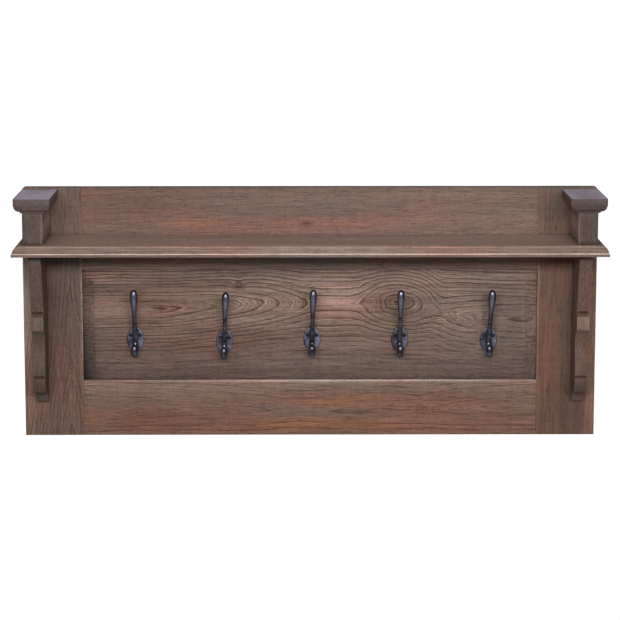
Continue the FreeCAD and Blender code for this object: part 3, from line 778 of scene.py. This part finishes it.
bottom_rail = board("bottom_rail_board", (-INNER, FACE, BOTTOM), (INNER, BACK, RAIL_OVER),
                    cells=(10, 0, 4), arris=1.2)
figure(
    bottom_rail, "XZY",
    [(-453, 0.1), (-288, 1.0), (-95, 2.0), (-40, 2.6), (0, 2.6), (62, 2.0), (150, 1.7), (226, 2.0),
     (300, 1.3), (453, 0.4)],
    [(-453, -384), (-288, -387), (-95, -389), (62, -393), (226, -389), (453, -380)],
    rate=(0.075, 0.09), seed=7.3,
    spots=[
        (-300, -410, 160, 28, -0.2, 0.5, 0),        # a dark red left end
        (-60, -425, 260, 22, 0, 0.6, 0),            # a red band along the lower edge
        (20, -417, 120, 9, 0.12, 0.8, 0),           # orange streaks below and above the arches
        (30, -371, 100, 9, 0.16, 0.8, 0.1),
        (-330, -342, 110, 14, 0.12, -0.3, -0.2),    # a greyer upper edge
        (250, -345, 160, 14, 0.04, -0.3, 0),
        (0, -333, 900, 16, 0.34, -0.3, 0),          # lit and worn beside the panel
        (120, -328, 420, 1.6, 2.2, -0.3, -0.6),     # and on its arris, worn bare and painted as a highlight
        (400, -410, 60, 30, -0.1, 0.4, 0),          # a redder right end
        (226, -389, 14, 6, -0.2, 0.2, 0.5),         # the knot's dark heart
    ],
    blunt=5, rough=1.05, hold=50, knots=[(226, -389, 7, 1.8)])

frame_boards = {"stile_left": stile_left, "stile_right": stile_right, "top_rail": top_rail,
                "bottom_rail": bottom_rail}
for index, piece in enumerate(frame_boards.values()):
    wander(piece, 0.12, index * 3.3)

# %% [markdown]
# ## The keyhole pockets
# The hanger plates sit on the back of the top rail. Behind each keyhole the wood is hollowed out, so that
# the head of the wall's stud has somewhere to go. A boolean with two short rods per plate does this. It
# comes after the boards wander, because a drilled hole stays true, and before they are finished.

# %% Keyhole pockets
KEYHOLE_PLACES = (-400, 400)
STUD_PLACES = (0, 12)     # where the stud's head goes in, and where the rack hangs on it

for along in KEYHOLE_PLACES:
    for height in STUD_PLACES:
        carve(top_rail, rod((along, 0.5, height), radius=4.5, length=22))
for name, piece in frame_boards.items():
    finished(piece, woods[name])
    stands_in(piece, name)

# %% [markdown]
# ## The raised panel
# The panel floats in grooves in the frame. Its edge is thin and a bevel all round rises to a flat field.
# The field is one fine grid, because here the rings are not only coloured: their grooves are pushed in,
# as the brush left them. The grid is extruded back to make the step, then widened to make the bevel, then
# the hidden edge.

# %% The panel
FIELD = (-429.0, 429.0, -304.0, -128.0)     # left, right, bottom and top
BEVEL, BEVEL_FALL = 24.0, 7.0
STEP = 1.0
TONGUE, TONGUE_THICK = 5.0, 5.0
CELL = 1.5

left, right, low, high = FIELD
wide, tall = right - left, high - low
middle_of_field = Vector(((left + right) / 2, FACE, (low + high) / 2)) * MM
bpy.ops.object.select_all(action="DESELECT")
bpy.ops.mesh.primitive_grid_add(size=1, x_subdivisions=round(wide / CELL), y_subdivisions=round(tall / CELL),
                                location=middle_of_field, rotation=(math.pi / 2, 0, 0))
panel = named("panel_board")
panel.scale = (wide * MM, tall * MM, 1)
settle()
with editing(panel):
    bpy.ops.mesh.region_to_loop()
    for back, grow in ((STEP, 0.0), (BEVEL_FALL, BEVEL), (0.0, TONGUE), (TONGUE_THICK, 0.0)):
        bpy.ops.mesh.extrude_edges_move(TRANSFORM_OT_translate={"value": (0, back * MM, 0)})
        stretch = ((wide + 2 * grow) / wide, 1, (tall + 2 * grow) / tall)
        bpy.ops.transform.resize(value=stretch, center_override=middle_of_field)
        wide, tall = wide + 2 * grow, tall + 2 * grow
    bpy.ops.mesh.edge_face_add()
    face_outwards()
print("panel grid", len(panel.data.vertices), "vertices")

# %% [markdown]
# ## The panel's rings
# Long arches point to the right along the left half of the panel, where the ring number rises. Closed
# ovals lie nested around its dip right of the middle, and wide arches come in from the right end, where
# it falls again. A dark ring line is also a groove in the mesh: a curve much like the one that darkens it
# sinks the vertices of the field.

# %% The panel's rings
GROOVE_SINK = 0.3

panel_growth = figure(
    panel, "XZY",
    [(-470, 0.2), (-275, 1.0), (-188, 2.0), (-138, 3.0), (-91, 4.0), (-63, 5.0), (-39, 6.0), (-11, 7.0),
     (15, 7.45), (90, 7.45), (104, 7.0), (116, 6.0), (128, 5.0), (140, 4.0), (160, 3.2), (177, 2.95),
     (196, 3.3), (212, 4.0), (225, 5.0), (238, 6.0), (250, 7.0), (256, 7.3), (262, 7.0), (290, 6.2),
     (350, 5.3), (470, 4.6)],
    [(-470, -186), (-275, -184), (-188, -178), (-91, -172), (0, -171), (177, -171), (236, -176), (262, -195),
     (350, -202), (470, -205)],
    rate=(0.125, 0.115), seed=11.9,
    spots=[
        (0, -320, 2000, 70, -0.42, 0.0, -0.78),     # dark and smooth along the lower edge
        (-60, -329, 500, 26, -0.1, 0, 0),
        (0, -120, 900, 30, 0.12, 0, 0.9),           # rough along the upper edge
        (-455, -220, 26, 300, -0.66, 0, -0.2),      # painted shade on the left bevel
        (455, -220, 24, 300, -0.1, 0, -0.2),        # the right bevel, a little darker
        (-390, -183, 70, 24, 0.1, 0.3, -0.8),       # smooth inside the first arch
        (-330, -170, 110, 24, 0.02, 0.35, 0),
        (-282, -183, 40, 12, 0.0, 0.3, 1.4),        # the first arch's deep tip
        (-142, -137, 8, 6, -0.4, 0.2, 0.6),         # a knot's dark heart
        (-140, -265, 150, 22, 0.0, 0.35, 0),        # a red streak
        (-60, -180, 200, 40, 0.16, 0.1, 0.3),       # light and rough along the arches
        (62, -172, 60, 32, 0.5, 0.15, -0.5),        # the palest, smoothest part, past them
        (140, -172, 50, 22, -0.24, 0.5, 0.1),       # a dark red patch beside it
        (177, -171, 80, 40, 0, 0, 0.4),             # strong rings around the ovals
        (290, -165, 60, 34, 0.12, 0.0, 0.1),        # light past the ovals
        (390, -215, 60, 90, -0.12, -0.3, -0.2),     # a grey right end
    ],
    blunt=15, wave=0.34, rough=1.0, hold=46, knots=[(-142, -137, 7, 2.4), (128, -172, 12, 1.6)])

sunk = np.interp(panel_growth % 1.0, (0, 0.08, 0.6, 0.9, 1), (0.25, 0.0, 0.15, 1.0, 0.25))
for vertex, depth in zip(panel.data.vertices, sunk):
    if vertex.co.y < (FACE + 0.1) * MM:
        vertex.co.y += depth * GROOVE_SINK * MM
finished(panel, woods["panel"])
stands_in(panel, "raised_panel")

# %% [markdown]
# ## The shelf
# The shelf is one board with the same moulding along its front and both ends: a small step, a quarter
# round and a square lip. Starting from the plain top face and pulling it down through a few level
# outlines, each a little wider and deeper than the last, gives the moulding with neat mitred corners.

# %% Drawing a moulding


def drawn(name, centre, sections, cells, arris):
    """A piece drawn down through level sections (height, half width, depth) that share a back on FACE."""
    height, half, depth = sections[0]
    bpy.ops.object.select_all(action="DESELECT")
    bpy.ops.mesh.primitive_plane_add(size=1, location=Vector((centre, FACE - depth / 2, height)) * MM)
    piece = named(name)
    piece.scale = (2 * half * MM, depth * MM, 1)
    settle()
    with editing(piece):
        for new_height, new_half, new_depth in sections[1:]:
            fall = (0, 0, (new_height - height) * MM)
            bpy.ops.mesh.extrude_region_move(TRANSFORM_OT_translate={"value": fall})
            bpy.ops.transform.resize(value=(new_half / half, new_depth / depth, 1),
                                     center_override=Vector((centre, FACE, new_height)) * MM)
            height, half, depth = new_height, new_half, new_depth
        face_outwards()
        ease(24, arris)
        dice(piece, cells)
    return piece


def quarter_round(height, out, drop, swell, steps, plumb_first=False):
    """A quarter round as (height, out) pairs. It leaves level and ends plumb, or the other way round."""
    outline = []
    for step in range(1, steps + 1):
        turn = math.pi / 2 * step / steps
        down, along = 1 - math.cos(turn), math.sin(turn)
        if plumb_first:
            down, along = along, down
        outline.append((height - drop * down, out + swell * along))
    return outline


# %% The shelf
SHELF_TOP, SHELF_UNDER = -35.0, -54.5
SHELF_HALF, SHELF_DEPTH = 561.0, 166.0
LEDGE = SHELF_TOP - 13.5

moulding = [(SHELF_TOP, 0), (SHELF_TOP - 2, 0), (SHELF_TOP - 2, 1)]
moulding += quarter_round(SHELF_TOP - 2, 1, 9, 9, 6)
moulding += [(LEDGE + 0.9, 10), (LEDGE, 10), (LEDGE, 12), (LEDGE - 1.1, 12), (SHELF_UNDER, 12)]
shelf_sections = [(height, SHELF_HALF + out, SHELF_DEPTH + out) for height, out in moulding]
shelf = drawn("shelf_board_moulded", 0, shelf_sections, cells=(10, 7, 0), arris=0.35)
figure(
    shelf, "XYZ", [(-580, 0), (0, 1.1), (580, 0)], [(-580, -260), (580, -300)],
    rate=(0.13, 0.13), seed=15.1,
    spots=[
        (-420, -195, 160, 14, -0.05, 0.0, 0),       # a darker left part of the moulding
        (-60, -195, 30, 14, 0.15, -0.2, 0),         # paler and greyer near the middle
        (40, -195, 120, 14, 0.4, -0.4, 0),
        (250, -195, 120, 14, 0.05, 0.4, 0),         # and redder to the right of it
        (0, -195, 900, 18, 0, 0, 0.5),              # strong rings all along the moulding
        (0, -40, 600, 20, -0.12, 0, 0),             # painted contact shade against the frame
        (500, -120, 100, 60, -0.04, 0.2, 0),
    ],
    skew=0.3, rough=0.55)

# %% [markdown]
# ## Wear and painted light on the shelf
# The lip's ledge is nearly bare wood and carries a painted highlight, the upper arris is painted a little
# paler as a highlight and the underside is painted dark as shade. Such bands follow the moulding, so they
# are added to `tone` by height.

# %% Wear and painted light on the shelf
WORN_AND_PAINTED_LIGHT_BANDS = (    # middle height, half the band's height and what it adds to the tone
    # the ledge: worn nearly bare, and a painted highlight
    (LEDGE, 0.6, 2.2),
    # the upper arris: a painted highlight
    (SHELF_TOP - 1.5, 1.0, 0.5),
    # the underside: painted shade
    (SHELF_UNDER, 1.5, -0.2),
)

tone = shelf.data.attributes["tone"].data
for index, vertex in enumerate(shelf.data.vertices):
    for middle, half_band, change in WORN_AND_PAINTED_LIGHT_BANDS:
        if abs(vertex.co.z / MM - middle) < half_band:
            tone[index].value += change
wander(shelf, 0.1, 21.0)
finished(shelf, woods["shelf"])
stands_in(shelf, "shelf_board")

# %% [markdown]
# ## Posts and caps
# A short post of solid wood stands at each end of the shelf, and a cap lies on it. The cap has a plain
# face and, under it, a round that draws in to the post: the shelf's recipe with the widths shrinking
# instead of growing. The left and right ones differ a little in tone.

# %% One post
POST_CENTRE, POST_HALF, POST_DEPTH = 534.0, 19.0, 146.0
CAP_TOP, CAP_UNDER = 56.0, 27.0
SIDES = ((-1, "left"), (1, "right"))


def post(side, name):
    """The post on the left (-1) or on the right (1)."""
    centre = side * POST_CENTRE
    piece = board(name, (centre - POST_HALF, FACE - POST_DEPTH, SHELF_TOP),
                  (centre + POST_HALF, FACE, CAP_UNDER), cells=(5, 8, 8), arris=1.3)
    figure(
        piece, "ZXY", [(-40, 0), (40, 0.4)], [(-40, centre + side * 40), (40, centre + side * 34)],
        rate=(0.16, 0.16), seed=27.0 + side,
        spots=[
            (0, centre, 60, 20, -0.16 - 0.1 * side, 0.15, 0),      # the whole post, darker on the right
            (0, centre - POST_HALF * side, 34, 1.2, 1.1, 0, 0),    # the inner arris, worn
        ],
        skew=0.12, rough=0.25)
    wander(piece, 0.15, 31.0 + side)
    return piece


# %% One cap
CAP_HALF, CAP_DEPTH = 35.0, 162.0
CAP_FACE, CAP_ROUND = 15.0, 11.0

cap_outline = [(CAP_TOP, 0), (CAP_TOP - CAP_FACE, 0), (CAP_TOP - CAP_FACE, -1)]
cap_outline += quarter_round(CAP_TOP - CAP_FACE, -1, CAP_ROUND, -CAP_ROUND, 5, plumb_first=True)
cap_outline.append((CAP_UNDER, -1 - CAP_ROUND))
cap_sections = [(height, CAP_HALF + out, CAP_DEPTH + out) for height, out in cap_outline]


def cap(side, name):
    """The cap on the left (-1) or on the right (1)."""
    centre = side * POST_CENTRE
    piece = drawn(name, centre, cap_sections, cells=(6, 9, 0), arris=0.5)
    figure(
        piece, "YXZ", [(-190, 0), (0, 0.8)], [(-190, centre - 60), (0, centre - 50)],
        rate=(0.15, 0.15), seed=35.0 + side,
        spots=[(-184, centre, 60, 90, -0.1 - 0.12 * side, 0.1, 0)],      # the front, darker on the right
        skew=0.2, rough=0.6)
    wander(piece, 0.15, 37.0 + side)
    return piece


# %% Posts and caps
for side, side_name in SIDES:
    post_piece = post(side, "post_%s_block" % side_name)
    finished(post_piece, woods["post"])
    stands_in(post_piece, "post_" + side_name)
    cap_piece = cap(side, "cap_%s_block" % side_name)
    finished(cap_piece, woods["cap"])
    stands_in(cap_piece, "cap_" + side_name)

# %% [markdown]
# ## Corbels
# The brackets under the shelf are sawn from one thick board each. Seen from the side, a long hollow
# sweeps down from the shelf to a deep nick, a square ledge stands under it, and below a second hollow a
# small scroll curls back to the frame. Because the front never doubles back, a corbel too can be drawn
# down through level outlines: its depth at each height is read off arcs between a few measured corners.

# %% The corbel's outline
CORBEL_HALF = 12.0
CORBEL_FRONT = [    # (out from the frame, down from the shelf) and, where an arc starts, its radius
    (122, 0), (122, 18, -480),      # the long upper hollow
    (89, 112, 16), (78, 125),       # which rounds into the nick
    (92, 131), (92, 157, -42),      # the square ledge and the second hollow
    (63, 192, -90), (69, 221),      # which eases out to a short upright
    (69, 252), (64, 254),           # that ends in a small step
    (74, 258, 34), (32, 290, -34),  # the scroll's bulge and its hollow tail
    (13, 313.5),
]


def arc_points(start, end, radius, step=7.0):
    """Points on the arc from start to end. A positive radius bulges outward and a negative one is hollow."""
    start, end = Vector(start), Vector(end)
    chord = end - start
    across = Vector((chord.y, -chord.x)).normalized()
    reach = math.sqrt(radius ** 2 - (chord.length / 2) ** 2)
    centre = (start + end) / 2 - across * math.copysign(reach, radius)
    count = max(2, round(chord.length / step))
    points = []
    for index in range(1, count):
        spot = start.lerp(end, index / count) - centre
        points.append(centre + spot.normalized() * abs(radius))
    return points


corbel_outline = []
for corner, following in zip(CORBEL_FRONT, CORBEL_FRONT[1:] + [None]):
    corbel_outline.append(corner[:2])
    if len(corner) == 3:
        corbel_outline += [tuple(point) for point in arc_points(corner[:2], following[:2], corner[2])]
corbel_sections = [(SHELF_UNDER - down, CORBEL_HALF, out) for out, down in corbel_outline]
print("corbel outline", len(corbel_outline), "points")

# %% Corbels
for side, side_name in SIDES:
    corbel = drawn("corbel_%s_bracket" % side_name, side * POST_CENTRE, corbel_sections,
                   cells=(6, 8, 0), arris=1.5)
    figure(
        corbel, "ZYX", [(-370, 2.2), (-200, 1.0), (-50, 0)], [(-370, -20), (-50, -60)],
        rate=(0.09, 0.09), seed=45.0 + side,
        spots=[
            (-110, -80, 60, 90, 0.12, 0, 0),            # lighter at the top
            (-175, -98, 8, 14, 0.3, 0, 0),              # worn around the nick
            (-187, -112, 9, 12, 0.55, 0, -0.4),         # worn and painted as highlights on the ledge's corners and face
            (-211, -114, 8, 12, 0.5, 0, -0.4),
            (-199, -114, 14, 5, 0.2, -0.2, -0.3),
            (-308, -92, 8, 12, 0.2, 0, -0.4),           # a painted highlight on the step over the scroll, which faces up
            (-330, -60, 60, 60, -0.28, 0.3, 0),         # a dark red foot
            (-200, -80, 200, 90, 0.05 * side, 0.2 + 0.2 * side, 0),    # the right one is redder
        ],
        skew=0.12, rough=0.6)
    wander(corbel, 0.18, 51.0 + side)
    finished(corbel, woods["corbel"])
    stands_in(corbel, "corbel_" + side_name)

# %% [markdown]
# ## One cast hook
# The hook is one iron casting: an oval plate with a rounded rim, and a round shank whose long upper arm
# ends in a soft bulb and whose short lower arm curls up to a blunt tip. The shank is a disc extruded from
# station to station, turned and scaled at each so that it stays square to its path.

# %% The shank
SHANK = [    # (out from the frame, up from the plate's middle, radius), from the bulb to the lower tip
    (47.4, 106.7, 1.6), (47, 104.5, 5.0), (45.8, 99, 7.4), (43.6, 90, 7.8), (39.8, 76, 6.3),
    (32.2, 58, 4.7), (24.4, 38, 4.3), (16, 20, 4.6), (9, 6, 5.2), (6.8, -5, 5.4), (9.5, -15, 5.2),
    (15.5, -22.6, 5.3), (22, -25.6, 5.8), (28, -26, 6.3), (33.2, -23.4, 6.9), (36, -18.5, 7.3),
    (36.9, -13, 7.2), (36.8, -8.4, 6.2), (36.6, -5.4, 4.2), (36.5, -3.8, 1.6),
]


def station_turn(index):
    """The shank's direction at a station, as an angle from +Y towards +Z."""
    before, after = SHANK[max(index - 1, 0)], SHANK[min(index + 1, len(SHANK) - 1)]
    return math.atan2(after[1] - before[1], before[0] - after[0])


def shank():
    """The hook's round arm, from the bulb down and up again to the lower tip."""
    out, up, radius = SHANK[0]
    turn = station_turn(0)
    bpy.ops.object.select_all(action="DESELECT")
    bpy.ops.mesh.primitive_circle_add(vertices=28, radius=radius * MM, fill_type="NGON",
                                      location=Vector((0, FACE - out, up)) * MM,
                                      rotation=(turn - math.pi / 2, 0, 0))
    piece = named("hook_shank")
    settle()
    with editing(piece):
        for index in range(1, len(SHANK)):
            new_out, new_up, new_radius = SHANK[index]
            move = Vector((0, out - new_out, new_up - up)) * MM
            bend = (station_turn(index) - turn + math.pi) % (2 * math.pi) - math.pi
            centre = Vector((0, FACE - new_out, new_up)) * MM
            bpy.ops.mesh.extrude_region_move(TRANSFORM_OT_translate={"value": move})
            bpy.ops.transform.rotate(value=-bend, orient_axis="X", center_override=centre)
            bpy.ops.transform.resize(value=(new_radius / radius,) * 3, center_override=centre)
            out, up, radius, turn = new_out, new_up, new_radius, station_turn(index)
        face_outwards()
    return piece


hook_arm = shank()
print("shank spans", [round(size / MM, 1) for size in hook_arm.dimensions], "mm")

# %% [markdown]
# ## The hook's plate
# The plate is a short cylinder stretched to an oval. Its front rim is inset and then bevelled, which
# leaves a flat face inside a soft rim.

# %% The plate
PLATE_HALF_WIDTH, PLATE_HALF_HEIGHT, PLATE_THICK = 17.0, 25.0, 3.0
RIM, RIM_ROUND = 1.6, 1.3


def back_plate():
    """The oval plate that lies on the frame."""
    rod((0, FACE - PLATE_THICK / 2, 0), PLATE_HALF_WIDTH, PLATE_THICK, sides=96)
    piece = named("hook_plate")
    settle()
    with editing(piece):
        bpy.ops.transform.resize(value=(1, 1, PLATE_HALF_HEIGHT / PLATE_HALF_WIDTH),
                                 center_override=(0, FACE * MM, 0))
        pick(piece, "FACE", lambda face: face.normal.y < -0.9)
        bpy.ops.mesh.inset(thickness=RIM * MM, depth=0)
        pick(piece, "EDGE", lambda edge: edge.calc_face_angle(0) > 1 and
             all(end.co.y < (FACE - 1) * MM for end in edge.verts))
        bpy.ops.mesh.bevel(offset=RIM_ROUND * MM, segments=4, affect="EDGES", clamp_overlap=True)
    return piece


hook = back_plate()
print("plate spans", [round(size / MM, 1) for size in hook.dimensions], "mm")

# %% [markdown]
# ## Casting it in one
# Plate and shank are melted into one skin with a voxel remesh, which gives the rounded inner corners of a
# real casting. Then two countersinks are cut for the screws. Last, a field is stored that paints light onto
# the iron: a highlight on the front of the bulb, and light on the plate, most of all on its right.

# %% The whole hook
SKIN_CELL = 0.62
SCREW_SIDE, SCREW_UP = 9, 9


def cone(place, wide, narrow, length):
    """A blunt cone that narrows into the wall, centred on a place."""
    bpy.ops.object.select_all(action="DESELECT")
    bpy.ops.mesh.primitive_cone_add(vertices=32, radius1=wide * MM, radius2=narrow * MM, depth=length * MM,
                                    rotation=(-math.pi / 2, 0, 0), location=Vector(place) * MM)
    return bpy.context.object


def ramp(position, start, end):
    """Rises from 0 to 1 between two positions, and falls where the end lies below the start."""
    return min(max((position - start) / (end - start), 0), 1)


selected(hook, hook_arm)
bpy.ops.object.join()
hook.name = hook.data.name = "hook_casting"
skin = hook.modifiers.new("skin", "REMESH")
skin.mode = "VOXEL"
skin.voxel_size = SKIN_CELL * MM
bpy.ops.object.modifier_apply(modifier=skin.name)
with editing(hook):
    bpy.ops.mesh.vertices_smooth(factor=0.5, repeat=4)
for side in (-1, 1):
    countersink = cone((side * SCREW_SIDE, FACE - PLATE_THICK + 1.1, SCREW_UP), 4.3, 2.0, 2.6)
    carve(hook, countersink)

painted_light = hook.data.attributes.new("painted_light", "FLOAT", "POINT").data
for index, vertex in enumerate(hook.data.vertices):
    right, up, out = vertex.co.x / MM, vertex.co.z / MM, FACE - vertex.co.y / MM
    facing = max(-vertex.normal.y, 0)
    # a painted highlight on the bulb's front, and painted light on the plate, strongest on its right
    bulb_highlight = min(ramp(up, 50, 80), ramp(up, 108, 94)) * facing ** 3
    plate_light = 0.2 + ramp(right, 3, 12) * 0.6 if out < PLATE_THICK + 1 else 0
    painted_light[index].value = max(bulb_highlight, plate_light)
print("hook", len(hook.data.polygons), "faces")

# %% [markdown]
# ## The hooks' screws
# Each plate is held by two black countersunk screws, one on either side of the shank, with a cross
# recess. They lie a little below the plate's face, so each reads as a dark dimple.

# %% One screw
STEM_RADIUS = 1.7
RECESS_LENGTH, RECESS_WIDTH = 4.4, 0.9
RECESS_TURN = 0.6     # in radians, how far the cross is turned

screw = cone((0, FACE - PLATE_THICK + 1.6, SCREW_UP), wide=3.5, narrow=STEM_RADIUS, length=2)
named("hook_screw")
settle()
with editing(screw):
    ease(40, 0.3)
for turn in (RECESS_TURN, RECESS_TURN + math.pi / 2):
    recess = block("recess", (-RECESS_LENGTH / 2, FACE - PLATE_THICK - 1, -RECESS_WIDTH / 2),
                   (RECESS_LENGTH / 2, FACE - PLATE_THICK + 1.5, RECESS_WIDTH / 2))
    recess.rotation_euler = (0, turn, 0)
    recess.location.z = SCREW_UP * MM
    carve(screw, recess)
stem = rod((0, FACE - PLATE_THICK + 8.4, SCREW_UP), STEM_RADIUS, length=12, sides=20)
named("hook_screw_stem")
settle()
selected(screw, stem)
bpy.ops.object.join()
print("screw", len(screw.data.polygons), "faces")

# %% [markdown]
# ## A row of five
# The five hooks come from one pattern, but they were screwed on by hand, so they lean by up to about two
# degrees and most sit a millimetre or so off their even places. The second hangs 5 mm lower. Every copy
# gets its own mesh and its own faint lumps.

# %% Hanging the hooks
HOOK_PITCH, HOOK_SHIFT, PLATE_HEIGHT = 176.0, 4.0, -244.6
HOOK_FITTING = [    # each hook's millimetres to the right and down, and its lean in degrees
    (0, 0, 0), (1.6, 5, 2.1), (0, 0, 1.2), (-1.3, 1, 0.3), (0.2, 1, 1.9),
]
MIDDLE_HOOK = 2


def hung(master, name, index, side=0.0):
    """A copy of a piece modelled on the origin, put at its hook's place in the row."""
    along, down, lean = HOOK_FITTING[index]
    selected(master)
    bpy.ops.object.duplicate(linked=False)
    piece = named(name)
    if side:
        bpy.ops.transform.translate(value=(side * MM, 0, 0))
        settle()
    even_place = HOOK_SHIFT + (index - MIDDLE_HOOK) * HOOK_PITCH
    piece.rotation_euler = (0, math.radians(lean), 0)
    piece.location = Vector((even_place + along, 0, PLATE_HEIGHT - down)) * MM
    settle()
    return piece


screw_heads = []
for index in range(len(HOOK_FITTING)):
    casting = hung(hook, "cast_hook_%d" % (index + 1), index)
    wander(casting, 0.12, 61.0 + index)
    finished(casting, gun_black)
    with editing(casting):
        bpy.ops.mesh.faces_shade_smooth()
    stands_in(casting, "hook_%d" % (index + 1))
    for side in (-SCREW_SIDE, SCREW_SIDE):
        screw_heads.append(hung(screw, "screw_head_%d_%d" % (index + 1, side), index, side))
selected(*screw_heads)
bpy.ops.object.join()
hook_screws = named("hook_screw_set")
finished(hook_screws, screw_black)
stands_in(hook_screws, "hook_screws")
for master in (hook, screw):
    bpy.data.objects.remove(master)

# %% [markdown]
# ## Fixings behind and inside
# The remaining fixings keep the shapes and places they have in the CAD frame and only get finishes: zinc
# screws, stamped hanger plates and beech pegs.

# %% Finishes for the CAD pieces
FIXINGS = {
    "shelf_screws": zinc, "post_screws": zinc, "cap_screws": zinc, "corbel_screws": zinc,
    "corbel_top_screws": zinc, "hanger_screws": zinc, "hanger_plate_left": stamped,
    "hanger_plate_right": stamped, "post_dowels": beech, "cap_dowels": beech,
}
for name, finish in FIXINGS.items():
    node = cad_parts[name]
    node.data.materials.clear()
    node.data.materials.append(finish)
    print(name, "in", finish.name)
